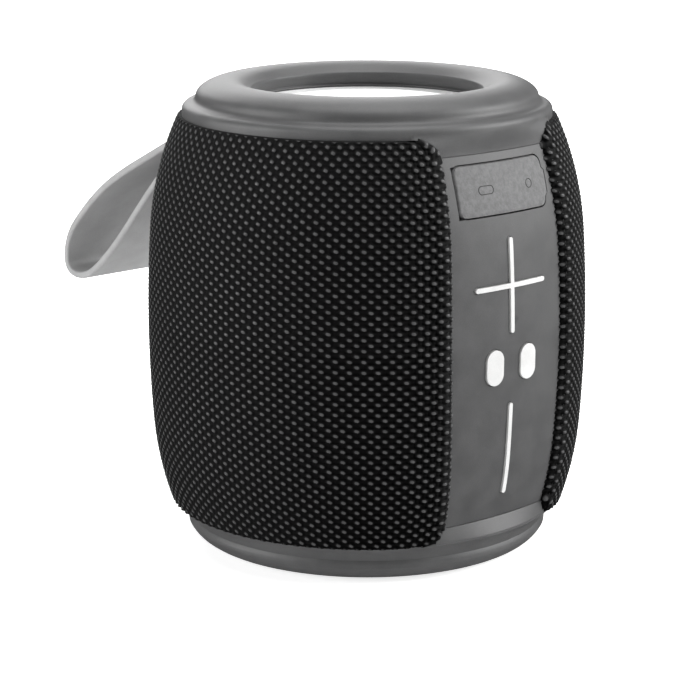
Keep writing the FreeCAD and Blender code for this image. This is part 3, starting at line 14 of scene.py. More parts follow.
import bpy
import numpy as np
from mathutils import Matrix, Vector

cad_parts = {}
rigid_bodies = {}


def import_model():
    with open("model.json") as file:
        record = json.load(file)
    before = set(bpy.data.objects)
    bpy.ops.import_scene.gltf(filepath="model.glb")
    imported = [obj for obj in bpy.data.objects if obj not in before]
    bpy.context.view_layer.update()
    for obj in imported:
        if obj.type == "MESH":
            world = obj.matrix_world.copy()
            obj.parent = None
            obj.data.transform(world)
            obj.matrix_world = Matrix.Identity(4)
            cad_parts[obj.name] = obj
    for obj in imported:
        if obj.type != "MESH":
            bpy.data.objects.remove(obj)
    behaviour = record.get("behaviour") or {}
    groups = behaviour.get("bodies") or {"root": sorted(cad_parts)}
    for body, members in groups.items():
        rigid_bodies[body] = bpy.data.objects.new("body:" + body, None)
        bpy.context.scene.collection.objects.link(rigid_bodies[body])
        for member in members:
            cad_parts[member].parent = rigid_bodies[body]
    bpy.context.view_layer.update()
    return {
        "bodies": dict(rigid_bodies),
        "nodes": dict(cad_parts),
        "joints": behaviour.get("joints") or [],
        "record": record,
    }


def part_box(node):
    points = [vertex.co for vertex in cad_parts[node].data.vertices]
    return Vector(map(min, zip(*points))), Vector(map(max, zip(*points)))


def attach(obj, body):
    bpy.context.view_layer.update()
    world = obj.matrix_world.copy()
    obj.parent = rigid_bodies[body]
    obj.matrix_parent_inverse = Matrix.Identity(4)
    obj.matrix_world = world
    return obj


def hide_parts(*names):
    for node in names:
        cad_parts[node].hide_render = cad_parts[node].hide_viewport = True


MM = 0.001
Shade = tuple[float, float, float]
log = logging.getLogger("speaker")


# ---------------------------------------------------------------- shader arithmetic

class Signal:
    """A shader socket that can be added, subtracted, multiplied and divided like a number."""

    def __init__(self, graph: Graph, socket: bpy.types.NodeSocket) -> None:
        """Keeps the socket.

        Args:
            graph: the material's graph.
            socket: the output socket that carries the value.
        """
        self.graph = graph
        self.socket = socket

    def _math(self, operation: str, first: Signal | float, second: Signal | float) -> Signal:
        """Adds one Math node.

        Args:
            operation: the node's operation.
            first: its first value.
            second: its second value.

        Returns:
            The node's result.
        """
        return self.graph.add("ShaderNodeMath", {"operation": operation}, {0: first, 1: second})[0]

    def __add__(self, other: Signal | float) -> Signal:
        """Sum."""
        return self._math("ADD", self, other)

    def __radd__(self, other: Signal | float) -> Signal:
        """Sum, with the number first."""
        return self._math("ADD", other, self)

    def __sub__(self, other: Signal | float) -> Signal:
        """Difference."""
        return self._math("SUBTRACT", self, other)

    def __rsub__(self, other: Signal | float) -> Signal:
        """Difference, with the number first."""
        return self._math("SUBTRACT", other, self)

    def __mul__(self, other: Signal | float) -> Signal:
        """Product."""
        return self._math("MULTIPLY", self, other)

    def __rmul__(self, other: Signal | float) -> Signal:
        """Product, with the number first."""
        return self._math("MULTIPLY", other, self)

    def fold(self, low: float, high: float) -> Signal:
        """Spreads low..high over 0..1 and clips what lies outside.

        Args:
            low: the value that becomes 0.
            high: the value that becomes 1.

        Returns:
            The clipped result.
        """
        settings = {"clamp": True, "interpolation_type": "SMOOTHSTEP"}
        return self.graph.add("ShaderNodeMapRange", settings, {0: self, 1: low, 2: high})[0]


class Graph:
    """The node tree of one material."""

    def __init__(self, name: str) -> None:
        """Makes an empty material.

        Args:
            name: the material's name.
        """
        self.material = bpy.data.materials.new(name)
        self.material.use_nodes = True
        self.tree = self.material.node_tree
        self.tree.nodes.clear()

    def add(self, kind: str, settings: dict | None = None, inputs: dict | None = None) -> list[Signal]:
        """Adds one node.

        Args:
            kind: the node's type name.
            settings: its properties, such as a Math node's operation.
            inputs: its sockets' names or numbers, with a Signal, a number or a colour for each.

        Returns:
            One Signal for each of the node's outputs.
        """
        node = self.tree.nodes.new(kind)
        for key, value in (settings or {}).items():
            setattr(node, key, value)
        for key, value in (inputs or {}).items():
            if isinstance(value, Signal):
                self.tree.links.new(value.socket, node.inputs[key])
            elif isinstance(value, tuple) and node.inputs[key].type == "RGBA":
                node.inputs[key].default_value = (*value, 1.0)
            else:
                node.inputs[key].default_value = value
        return [Signal(self, socket) for socket in node.outputs]

    def place(self) -> Signal:
        """The point's place on the piece, in metres."""
        return self.add("ShaderNodeTexCoord")[3]

    def scaled(self, x: float, y: float, z: float) -> Signal:
        """The point's place, stretched along each axis.

        Args:
            x: factor along X.
            y: factor along Y.
            z: factor along Z.

        Returns:
            The stretched place.
        """
        return self.add("ShaderNodeVectorMath", {"operation": "MULTIPLY"}, {0: self.place(), 1: (x, y, z)})[0]

    def noise(self, size: float, detail: float = 2.0, at: Signal | None = None) -> Signal:
        """Soft random mottling.

        Args:
            size: the size of a blotch in metres.
            detail: how many finer layers it has.
            at: the place it is read at; the piece's own place if left out.

        Returns:
            A value from about 0.3 to 0.7.
        """
        inputs = {"Vector": at or self.place(), "Scale": 1 / size, "Detail": detail, "Roughness": 0.55}
        return self.add("ShaderNodeTexNoise", {"noise_dimensions": "3D"}, inputs)[0]

    def mix(self, factor: Signal, first: Shade | Signal, second: Shade | Signal) -> Signal:
        """Blends two shades.

        Args:
            factor: 0 for the first shade and 1 for the second.
            first: the first shade.
            second: the second shade.

        Returns:
            The blended shade.
        """
        settings = {"data_type": "RGBA", "clamp_factor": True}
        return self.add("ShaderNodeMix", settings, {0: factor, 6: first, 7: second})[2]

    def bump(self, height: Signal, depth: float, strength: float = 1.0) -> Signal:
        """Turns a height into a normal.

        Args:
            height: the height, from 0 to 1.
            depth: how far 1 stands above 0, in metres.
            strength: how much of it shows.

        Returns:
            The normal.
        """
        return self.add("ShaderNodeBump", {}, {"Strength": strength, "Distance": depth, "Height": height})[0]

    def finish(self, inputs: dict) -> bpy.types.Material:
        """Adds the surface shader and the output.

        Args:
            inputs: the surface shader's sockets.

        Returns:
            The finished material.
        """
        surface = self.add("ShaderNodeBsdfPrincipled", {}, inputs)[0]
        self.add("ShaderNodeOutputMaterial", {}, {"Surface": surface})
        return self.material


# ---------------------------------------------------------------- finishes

@dataclass(frozen=True)
class Moulded:
    """Moulded plastic or rubber: two close shades, a fine grain and an uneven gloss."""

    name: str
    dark: Shade
    light: Shade
    roughness: float = 0.45
    gloss_spread: float = 0.12
    grain: float = 0.25 * MM
    grain_depth: float = 0.02 * MM
    mottle: float = 6 * MM
    metallic: float = 0.0
    specular: float = 0.5
    coat: float = 0.0

    def material(self) -> bpy.types.Material:
        """Builds the material.

        Returns:
            The material.
        """
        graph = Graph(self.name)
        broad = graph.noise(self.mottle, 3.0)
        fine = graph.noise(self.grain, 2.0)
        shade = graph.mix((broad * 0.6 + fine * 0.4).fold(0.32, 0.68), self.dark, self.light)
        gloss = self.roughness + (fine - 0.5) * self.gloss_spread + (broad - 0.5) * self.gloss_spread
        return graph.finish({
            "Base Color": shade,
            "Roughness": gloss,
            "Metallic": self.metallic,
            "Specular IOR Level": self.specular,
            "Coat Weight": self.coat,
            "Normal": graph.bump(fine, self.grain_depth),
        })


@dataclass(frozen=True)
class Brushed:
    """Metal with fine lines along one axis and faint stains."""

    name: str
    shade: Shade
    roughness: float = 0.32
    line: float = 0.06 * MM
    stretch: float = 0.04

    def material(self) -> bpy.types.Material:
        """Builds the material.

        Returns:
            The material.
        """
        graph = Graph(self.name)
        lines = graph.noise(self.line, 2.0, graph.scaled(1.0, self.stretch, 1.0))
        stains = graph.noise(3 * MM, 3.0)
        worn = tuple(channel * 0.72 for channel in self.shade)
        return graph.finish({
            "Base Color": graph.mix(stains.fold(0.3, 0.7), self.shade, worn),
            "Roughness": self.roughness + (lines - 0.5) * 0.25,
            "Metallic": 1.0,
            "Normal": graph.bump(lines, 0.004 * MM),
        })


@dataclass(frozen=True)
class CircuitBoard:
    """Solder mask over copper tracks."""

    name: str = "circuit_board"
    mask: Shade = (0.008, 0.07, 0.025)
    track: Shade = (0.02, 0.16, 0.05)
    pitch: float = 1.4 * MM

    def material(self) -> bpy.types.Material:
        """Builds the material.

        Returns:
            The material.
        """
        graph = Graph(self.name)
        settings = {"wave_type": "BANDS", "bands_direction": "DIAGONAL", "wave_profile": "SIN"}
        inputs = {"Vector": graph.place(), "Scale": 0.3 / self.pitch, "Distortion": 3.0, "Detail": 1.0}
        tracks = graph.add("ShaderNodeTexWave", settings, inputs)[1].fold(0.55, 0.7)
        return graph.finish({
            "Base Color": graph.mix(tracks, self.mask, self.track),
            "Roughness": 0.3 + graph.noise(0.5 * MM) * 0.2,
            "Normal": graph.bump(tracks, 0.03 * MM),
        })


@dataclass(frozen=True)
class Yarn:
    """Near-black twisted yarn, with painted shade (the near-black colour made darker still) in the gaps of
    the weave and a painted highlight (a lighter colour) on the top of each float, which also has a softer
    gloss.
    """

    name: str = "woven_yarn"
    # painted shade: the yarn's near-black colour, made darker still for the gaps and sides of the threads
    gap: Shade = (0.0006, 0.0006, 0.0007)
    # painted highlight: the lighter colour put on the tops of the floats
    painted_float_highlight: Shade = (0.072, 0.072, 0.073)
    roughness: float = 0.25
    fibre: float = 0.11 * MM

    def material(self) -> bpy.types.Material:
        """Builds the material.

        Returns:
            The material.
        """
        graph = Graph(self.name)
        lift = graph.add("ShaderNodeAttribute", {"attribute_name": "lift"})[2]
        fibres = graph.noise(self.fibre, 2.0, graph.scaled(1.0, 1.0, 0.6))
        patch = graph.noise(2.2 * MM, 2.0)
        # raised picks the float tops: in the base colour it places the painted highlight, in the roughness a
        # softer gloss
        raised = lift.fold(0.78, 1.0)
        return graph.finish({
            # base colour by thread height: painted shade in the gaps, painted highlight on the float tops
            "Base Color": graph.mix(raised * (0.6 + patch * 0.8), self.gap, self.painted_float_highlight),
            "Roughness": self.roughness + (1 - raised) * 0.6 + (fibres - 0.5) * 0.3,
            "Specular IOR Level": 0.3,
            "Normal": graph.bump(fibres, 0.03 * MM),
        })


class Finishes:
    """Every finish of the speaker, made once and handed out by the record's slot name."""

    def __init__(self) -> None:
        """Makes the materials."""
        self.by_slot = {
            "housing": Moulded("housing_plastic", (0.010, 0.010, 0.011), (0.018, 0.018, 0.019)),
            "panel": Moulded("panel_plastic", (0.050, 0.050, 0.051), (0.068, 0.068, 0.069),
                             roughness=0.52, grain=0.2 * MM, grain_depth=0.03 * MM),
            "seal": Moulded("seal_rubber", (0.012, 0.012, 0.012), (0.022, 0.022, 0.022), roughness=0.7),
            "flap_rubber": Moulded("flap_rubber", (0.080, 0.080, 0.081), (0.125, 0.125, 0.127),
                                   roughness=0.6, grain=0.55 * MM, grain_depth=0.05 * MM, mottle=1.2 * MM),
            "white_key": Moulded("key_plastic", (0.50, 0.50, 0.495), (0.58, 0.58, 0.575), roughness=0.45),
            "switch": Moulded("switch_plastic", (0.02, 0.02, 0.02), (0.04, 0.04, 0.04)),
            "board": CircuitBoard(),
            "chip": Moulded("chip_resin", (0.01, 0.01, 0.011), (0.02, 0.02, 0.021), roughness=0.55),
            "can": Brushed("can_aluminium", (0.72, 0.72, 0.74)),
            "lens": Moulded("lamp_lens", (0.75, 0.75, 0.68), (0.85, 0.85, 0.8), roughness=0.15),
            "connector": Moulded("connector_nylon", (0.62, 0.58, 0.47), (0.72, 0.69, 0.58), roughness=0.4),
            "screw": Brushed("screw_steel", (0.55, 0.55, 0.56)),
            "socket_shell": Brushed("socket_steel", (0.62, 0.62, 0.64), roughness=0.25),
            "cap": Moulded("ring_plastic", (0.066, 0.066, 0.067), (0.084, 0.084, 0.085),
                           roughness=0.5, grain=0.22 * MM, grain_depth=0.03 * MM, gloss_spread=0.1),
            "roll_rubber": Moulded("roll_rubber", (0.03, 0.03, 0.03), (0.05, 0.05, 0.05), roughness=0.55),
            "white_roll": Moulded("white_roll_rubber", (0.62, 0.62, 0.62), (0.72, 0.72, 0.72),
                                  roughness=0.5),
            "white_disc": Moulded("disc_plastic", (0.82, 0.82, 0.82), (0.88, 0.88, 0.88),
                                  roughness=0.45, grain_depth=0.008 * MM),
            "basket": Moulded("basket_paint", (0.012, 0.012, 0.012), (0.02, 0.02, 0.02), roughness=0.35),
            "steel": Brushed("plain_steel", (0.5, 0.5, 0.51)),
            "magnet": Moulded("magnet_ferrite", (0.04, 0.04, 0.043), (0.07, 0.07, 0.075), roughness=0.5),
            "copper": Brushed("coil_copper", (0.75, 0.34, 0.18), stretch=1.0),
            "cone": Moulded("cone_pulp", (0.014, 0.014, 0.014), (0.03, 0.03, 0.03), roughness=0.8,
                            grain=0.4 * MM, grain_depth=0.06 * MM),
            "spider": Moulded("spider_cloth", (0.35, 0.24, 0.08), (0.5, 0.36, 0.14), roughness=0.8),
            "cell": Moulded("cell_sleeve", (0.03, 0.13, 0.30), (0.05, 0.18, 0.38), roughness=0.25),
            "lead": Moulded("lead_insulation", (0.28, 0.015, 0.012), (0.38, 0.03, 0.025), roughness=0.35),
            "strap_rubber": Moulded("strap_rubber", (0.27, 0.27, 0.271), (0.32, 0.32, 0.322),
                                    roughness=0.5, grain=0.3 * MM, grain_depth=0.03 * MM),
            "woven_cover": Yarn(),
        }
        self.made = {slot: finish.material() for slot, finish in self.by_slot.items()}

    def dress(self, thing: bpy.types.Object, slot: str) -> None:
        """Puts a slot's material on a piece.

        Args:
            thing: the piece.
            slot: the record's material slot.
        """
        thing.data.materials.clear()
        thing.data.materials.append(self.made[slot])


# ---------------------------------------------------------------- meshes

def make_piece(name: str, points: np.ndarray, faces: list | np.ndarray,
               smooth: bool = True) -> bpy.types.Object:
    """Makes a mesh object.

    Args:
        name: the piece's name.
        points: its points, one row each, in metres.
        faces: its faces, as lists of point numbers.
        smooth: whether the faces are smooth shaded.

    Returns:
        The piece.
    """
    mesh = bpy.data.meshes.new(name)
    mesh.from_pydata(points.tolist(), [], faces.tolist() if isinstance(faces, np.ndarray) else faces)
    mesh.validate()
    mesh.polygons.foreach_set("use_smooth", np.full(len(mesh.polygons), smooth))
    mesh.update()
    piece = bpy.data.objects.new(name, mesh)
    bpy.context.scene.collection.objects.link(piece)
    return piece


def grid_faces(rows: int, columns: int) -> np.ndarray:
    """Faces of a grid of points stored row by row.

    Args:
        rows: number of rows of points.
        columns: number of points in a row.

    Returns:
        One row of four point numbers for each face.
    """
    first = (np.arange(rows - 1)[:, None] * columns + np.arange(columns - 1)[None, :]).ravel()
    return np.stack([first, first + 1, first + columns + 1, first + columns], 1)


def smoothstep(value: np.ndarray) -> np.ndarray:
    """Eases 0..1 at both ends.

    Args:
        value: the values.

    Returns:
        The eased values.
    """
    clipped = np.clip(value, 0, 1)
    return clipped * clipped * (3 - 2 * clipped)


class Edge(Enum):
    """The cover's two upright edges, with the way that the threads are counted from each."""

    FIRST = 1
    LAST = -1


@dataclass
class Barrel:
    """Outline of the barrel over its cover, in millimetres: a flat belly arc and two tighter shoulders."""

    radius: float = 48.0
    widest: float = 48.5
    belly_bend: float = 300.0
    belly_half: float = 21.0
    shoulder_bend: float = 70.0

    def at(self, height: np.ndarray) -> np.ndarray:
        """Radius at a height.

        Args:
            height: the heights.

        Returns:
            The radii.
        """
        rise = np.abs(np.asarray(height, float) - self.widest)
        lean = self.belly_half / self.belly_bend
        upright = math.sqrt(1 - lean * lean)
        belly = self.radius - self.belly_bend + np.sqrt(self.belly_bend ** 2 - np.minimum(rise, 60) ** 2)
        middle_in = self.radius - self.belly_bend + (self.belly_bend - self.shoulder_bend) * upright
        middle_off = (self.belly_bend - self.shoulder_bend) * lean
        shoulder = middle_in + np.sqrt(self.shoulder_bend ** 2 - np.maximum(rise - middle_off, 0) ** 2)
        return np.where(rise < self.belly_half, belly, shoulder)


@dataclass
class ControlFace:
    """Curved face of the control strip, in millimetres."""

    barrel: Barrel = field(default_factory=Barrel)
    crown: float = 90.0
    drop: float = 3.7

    def bend(self, height: np.ndarray) -> np.ndarray:
        """Radius of the face's level arc at a height."""
        return self.crown - self.barrel.radius + self.barrel.at(height)

    def at(self, height: np.ndarray, across: np.ndarray) -> np.ndarray:
        """Distance of the face in front of the upright axis.

        Args:
            height: the heights.
            across: distances from the strip's middle.

        Returns:
            The distances.
        """
        deep = np.sqrt(self.bend(height) ** 2 - np.asarray(across, float) ** 2)
        return deep - (self.crown - self.barrel.radius + self.drop)


def soft_curve(points: list[tuple[float, float]], count: int) -> np.ndarray:
    """A smooth curve through points, spaced by the chords between them.

    Args:
        points: the points that it passes through.
        count: how many points to return.

    Returns:
        The points of the curve, one row each.
    """
    knots = np.array(points, float)
    gaps = np.linalg.norm(np.diff(knots, axis=0), axis=1)
    place = np.concatenate([[0], np.cumsum(gaps)])
    size = len(knots)
    system, known = np.zeros((size, size)), np.zeros((size, 2))
    system[0, 0] = system[-1, -1] = 1
    for index in range(1, size - 1):
        before, after = gaps[index - 1], gaps[index]
        system[index, index - 1:index + 2] = before, 2 * (before + after), after
        known[index] = 6 * ((knots[index + 1] - knots[index]) / after
                            - (knots[index] - knots[index - 1]) / before)
    bending = np.linalg.solve(system, known)
    at = np.linspace(0, place[-1], count)
    span = np.clip(np.searchsorted(place, at, side="right") - 1, 0, size - 2)
    gap = gaps[span][:, None]
    left = (place[span + 1] - at)[:, None]
    right = (at - place[span])[:, None]
    return (bending[span] * left ** 3 / (6 * gap) + bending[span + 1] * right ** 3 / (6 * gap)
            + (knots[span] / gap - bending[span] * gap / 6) * left
            + (knots[span + 1] / gap - bending[span + 1] * gap / 6) * right)


def closed_faces(rows: int, columns: int) -> np.ndarray:
    """Faces of a grid whose last column joins its first.

    Args:
        rows: number of rows of points.
        columns: number of points in a row.

    Returns:
        One row of four point numbers for each face.
    """
    row, column = np.meshgrid(np.arange(rows - 1), np.arange(columns), indexing="ij")
    first, after = (row * columns + column).ravel(), (row * columns + (column + 1) % columns).ravel()
    return np.stack([first, after, after + columns, first + columns], 1)


@dataclass
class TopRing:
    """Top ring: skirt, bead, soft groove, crown, mouth, and the tab that runs down to the strip.

    Sizes are in millimetres.  The outline runs outwards from the seam and back to the mouth's foot.
    """

    face: ControlFace = field(default_factory=ControlFace)
    skirt: float = 39.91
    seam: float = 93.93
    blend: float = 95.0
    cover_high: float = 94.0
    tab_edge: float = 90.25
    tab_deep: float = 1.7
    tab_lip: tuple[tuple[float, float], ...] = ((0.10, 0.06), (0.25, 0.25), (0.27, 1.7), (0.27, 1.7))
    tab_gap: float = 0.12
    tab_rows: int = 40
    tab_columns: int = 73
    columns: int = 384
    rounding: int = 130

    def outline(self) -> np.ndarray:
        """The ring's outline above its skirt, as distances from the axis and heights."""
        outer = soft_curve([(self.skirt, self.blend), (39.88, 95.5), (39.6, 96.1), (39.0, 96.55),
                            (38.1, 96.8), (37.35, 97.15), (37.0, 97.75), (36.85, 98.45),
                            (36.5, 99.15), (35.6, 99.95), (34.2, 100.7), (32.4, 101.25),
                            (30.5, 101.5), (28.8, 101.35), (27.3, 100.85), (26.1, 100.15),
                            (25.35, 99.65)],
                           self.rounding)
        mouth = soft_curve([(25.35, 99.65), (25.12, 99.5), (25.0, 99.3), (24.98, 99.05)], 9)
        wall = np.array([(25.1, 98.4), (25.9, 96.95), (25.85, 96.82), (25.3, 96.78), (25.22, 96.7),
                         (25.22, 96.3), (26.4, 96.25)])
        return np.concatenate([outer, mouth[1:], wall])

    def skirt_rows(self) -> np.ndarray:
        """Heights of the skirt's rows below the outline."""
        return np.linspace(self.seam, self.blend, 6)[:-1]

    def build(self, finishes: Finishes, cover: WovenCover) -> bpy.types.Object:
        """Makes the ring.

        Args:
            finishes: the speaker's finishes.
            cover: the woven cover, whose window the tab fills.

        Returns:
            The ring.
        """
        turn = np.linspace(0, 2 * math.pi, self.columns, endpoint=False)
        profile = self.outline()
        points = self.ring_points(profile[:, 0], profile[:, 1], turn)
        faces = closed_faces(len(profile), self.columns)
        reach = cover.window_edge(np.array([self.cover_high]))[0]
        half = math.asin(reach / self.skirt)
        low = self.skirt_rows()
        open_turn = np.linspace(half, 2 * math.pi - half, self.columns)
        heights = np.concatenate([low, [self.blend]])
        skirt = self.ring_points(np.full(len(heights), self.skirt), heights, open_turn)
        tab = self.tab_points(cover, reach)
        start, blocks, all_faces = 0, [points, skirt, tab], []
        shapes = (faces, grid_faces(len(heights), self.columns),
                  grid_faces(self.tab_rows + len(self.tab_lip), self.tab_columns + 2))
        for block, block_faces in zip(blocks, shapes):
            all_faces.append(block_faces + start)
            start += len(block)
        ring = make_piece("top_ring", np.concatenate(blocks) * MM, np.concatenate(all_faces))
        finishes.dress(ring, "cap")
        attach(ring, "speaker")
        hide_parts("top_cap")
        return ring

    @staticmethod
    def ring_points(radii: np.ndarray, heights: np.ndarray, turn: np.ndarray) -> np.ndarray:
        """Points of an outline turned about the upright axis.

        Args:
            radii: distances from the axis.
            heights: their heights.
            turn: the angles, from the strip's side.

        Returns:
            The points, one row each.
        """
        x = radii[:, None] * np.sin(turn)[None, :]
        y = -radii[:, None] * np.cos(turn)[None, :]
        z = np.broadcast_to(heights[:, None], x.shape)
        return np.stack([x, y, z], -1).reshape(-1, 3)

    def tab_points(self, cover: WovenCover, reach: float) -> np.ndarray:
        """Points of the tab, from the ring's round section to the strip's flatter face.

        Args:
            cover: the woven cover.
            reach: half the tab's width where it meets the ring.

        Returns:
            The points, one row each.
        """
        heights = np.linspace(self.blend, self.tab_edge, self.tab_rows)
        wide = np.where(heights < self.cover_high, cover.window_edge(heights) - self.tab_gap, reach)
        wide[heights >= self.cover_high] = reach
        share = smoothstep((self.blend - heights) / (self.blend - self.tab_edge))
        bend = self.skirt + (self.face.bend(self.tab_edge) - self.skirt) * share
        front = self.skirt + (self.face.at(self.tab_edge, 0) - self.skirt) * share
        across = np.linspace(-1, 1, self.tab_columns)[None, :] * wide[:, None]
        deep = np.sqrt(bend[:, None] ** 2 - across ** 2) - (bend - front)[:, None]
        rows_x, rows_y, rows_z = [across], [-deep], [np.broadcast_to(heights[:, None], across.shape)]
        for down, back in self.tab_lip:
            rows_x.append(across[-1:])
            rows_y.append(-deep[-1:] + back)
            rows_z.append(np.full_like(across[-1:], self.tab_edge - down))
        x, y, z = (np.concatenate(rows) for rows in (rows_x, rows_y, rows_z))
        x = np.concatenate([x[:, :1], x, x[:, -1:]], 1)
        y = np.concatenate([y[:, :1] + self.tab_deep, y, y[:, -1:] + self.tab_deep], 1)
        z = np.concatenate([z[:, :1], z, z[:, -1:]], 1)
        return np.stack([x, y, z], -1).reshape(-1, 3)


@dataclass
class Strap:
    """Rubber carrying loop: a rounded band that runs from an eyelet round a wide nose and back.

    Sizes are in millimetres.
    """

    half_wide: float = 12.45
    thickness: float = 1.7
    edge: float = 0.55
    reach: float = 60.0
    bulge: float = 14.4
    angle: float = 47.0
    eyelet: float = 2.3
    bore: float = 1.07
    stations: int = 260
    arc_steps: int = 7

    def route(self) -> np.ndarray:
        """Middle line of the band, along and across the loop's axis."""
        leaf = (self.thickness / 2 + 0.2) / self.bulge
        shape = [(0.0, leaf), (0.24, 0.45), (0.55, 0.88), (0.78, 1.0), (0.93, 0.90), (0.993, 0.62),
                 (0.955, 0.33), (0.83, 0.12), (0.60, 0.045), (0.30, 0.04), (0.0, -leaf)]
        return soft_curve([(self.reach * along, self.bulge * across) for along, across in shape],
                          self.stations)

    def section(self) -> np.ndarray:
        """Outline of the band's section: distance sideways and distance from its middle line."""
        half, wide, edge = self.thickness / 2, self.half_wide, self.edge
        corners = [(wide - edge, half - edge, 0), (-wide + edge, half - edge, 90),
                   (-wide + edge, -half + edge, 180), (wide - edge, -half + edge, 270)]
        points = []
        for x, off, start in corners:
            for angle in np.radians(np.linspace(start, start + 90, self.arc_steps)):
                points.append((x + edge * math.cos(angle), off + edge * math.sin(angle)))
        return np.array(points)

    def build(self, finishes: Finishes) -> bpy.types.Object:
        """Makes the loop.

        Args:
            finishes: the speaker's finishes.

        Returns:
            The loop.
        """
        low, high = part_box("strap_pin")
        pivot = np.array([0.0, (low.y + high.y) / 2, (low.z + high.z) / 2]) / MM
        tilt = math.radians(self.angle)
        along = np.array([0.0, math.cos(tilt), -math.sin(tilt)])
        across = np.array([0.0, math.sin(tilt), math.cos(tilt)])
        line, section = self.route(), self.section()
        heading = np.gradient(line, axis=0)
        heading /= np.linalg.norm(heading, axis=1)[:, None]
        middle = pivot + line[:, :1] * along + line[:, 1:] * across
        outward = -heading[:, 1:] * along + heading[:, :1] * across
        band = (middle[:, None, :] + section[None, :, 1:] * outward[:, None, :]
                + section[None, :, :1] * np.array([1.0, 0.0, 0.0]))
        eyelet, eyelet_faces = self.eyelet_mesh(pivot)
        band_points = band.reshape(-1, 3)
        points = np.concatenate([band_points, eyelet])
        faces = np.concatenate([closed_faces(len(line), len(section)), eyelet_faces + len(band_points)])
        loop = make_piece("carrying_loop", points * MM, faces)
        finishes.dress(loop, "strap_rubber")
        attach(loop, "strap")
        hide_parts("strap")
        return loop

    def eyelet_mesh(self, pivot: np.ndarray) -> tuple[np.ndarray, np.ndarray]:
        """The tube that turns on the pin.

        Args:
            pivot: the middle of the pin.

        Returns:
            Its points and faces.
        """
        wide, edge = self.half_wide, 0.4
        outline = np.array([(-wide, self.bore), (-wide, self.eyelet - edge), (-wide + edge, self.eyelet),
                            (wide - edge, self.eyelet), (wide, self.eyelet - edge), (wide, self.bore),
                            (-wide, self.bore)])
        turn = np.linspace(0, 2 * math.pi, 48, endpoint=False)
        x = np.broadcast_to(outline[:, :1], (len(outline), len(turn)))
        y = outline[:, 1:] * np.cos(turn)[None, :]
        z = outline[:, 1:] * np.sin(turn)[None, :]
        return (np.stack([x, y, z], -1) + pivot).reshape(-1, 3), closed_faces(len(outline), len(turn))


@dataclass
class PortCover:
    """Rubber cover over the sockets: a softly edged plate with a fingernail bulge on its right.

    Sizes are in millimetres.
    """

    face: ControlFace = field(default_factory=ControlFace)
    middle: float = 83.05
    half_long: float = 12.64
    half_tall: float = 5.19
    corner: float = 1.8
    bulge: float = 0.75
    proud: float = 0.14
    soften: float = 0.5
    deep: float = 1.0
    rings: int = 22
    spacing: float = 0.35
    corner_steps: int = 12
    mark_steps: int = 64
    mark_section: tuple[tuple[float, float], ...] = ((0.0, -0.05), (0.02, 0.05), (0.14, 0.05), (0.16, -0.05))

    def rim(self) -> np.ndarray:
        """Outline of the plate, as distances across and up from its middle."""
        points = []
        inner_x, inner_z = self.half_long - self.corner, self.half_tall - self.corner
        corners = [(inner_x, inner_z, 0), (-inner_x, inner_z, 90), (-inner_x, -inner_z, 180),
                   (inner_x, -inner_z, 270)]
        for x, z, start in corners:
            for angle in np.radians(np.linspace(start, start + 90, self.corner_steps)):
                points.append((x + self.corner * math.cos(angle), z + self.corner * math.sin(angle)))
        outline = np.array(points)
        dense = []
        for first, second in zip(outline, np.roll(outline, -1, 0)):
            count = max(1, round(float(np.linalg.norm(second - first)) / self.spacing))
            dense.extend(first + (second - first) * index / count for index in range(count))
        rim = np.array(dense)
        rise = np.clip(np.abs(rim[:, 1]) / (self.half_tall - 0.6 * self.corner), 0, 1)
        rim[:, 0] += np.where(rim[:, 0] > 0, self.bulge * (1 - smoothstep(rise)), 0)
        return rim

    def build(self, finishes: Finishes) -> bpy.types.Object:
        """Makes the plate.

        Args:
            finishes: the speaker's finishes.

        Returns:
            The plate.
        """
        rim = self.rim()
        reach = self.half_tall
        levels = [(0.0, self.deep), (0.0, self.soften)]
        levels += [(self.soften * (1 - math.cos(angle)), self.soften * (1 - math.sin(angle)))
                   for angle in np.radians(np.linspace(0, 90, 7)[1:])]
        levels += [(inset, 0.0) for inset in np.linspace(self.soften, reach, self.rings)[1:]]
        rows = []
        for inset, sunk in levels:
            shrink = np.array([1 - inset / self.half_long, 1 - inset / reach])
            across, up = (rim * shrink).T
            if inset >= reach:
                up = np.zeros_like(up)
            height = self.middle + up
            rows.append(np.stack([across, -(self.face.at(height, across) + self.proud - sunk), height], 1))
        faces = closed_faces(len(rows), len(rim))
        plate = make_piece("port_cover_plate", np.concatenate(rows) * MM, faces[:, ::-1])
        finishes.dress(plate, "flap_rubber")
        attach(plate, "flap")
        return plate

    def marks(self, finishes: Finishes) -> list[bpy.types.Object]:
        """Makes two plain raised outlines on the plate, one over each socket.

        Args:
            finishes: the speaker's finishes.

        Returns:
            The outlines.
        """
        pieces = []
        for name, side, half_long, half_tall in (("wide_socket_mark", -5.0, 1.9, 0.75),
                                                 ("round_socket_mark", 7.6, 0.8, 0.8)):
            turn = np.linspace(0, 2 * math.pi, self.mark_steps, endpoint=False)
            square = min(half_long, half_tall)
            loop = np.stack([np.sign(np.cos(turn)) * (half_long - square) + square * np.cos(turn),
                             square * np.sin(turn)], 1)
            rows = []
            for grow, rise in self.mark_section:
                across = side + loop[:, 0] * (1 + grow / half_long)
                height = self.middle + loop[:, 1] * (1 + grow / half_tall)
                deep = self.face.at(height, across) + self.proud + rise
                rows.append(np.stack([across, -deep, height], 1))
            piece = make_piece(name, np.concatenate(rows) * MM, closed_faces(len(rows), len(turn)))
            finishes.dress(piece, "seal")
            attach(piece, "flap")
            pieces.append(piece)
        return pieces


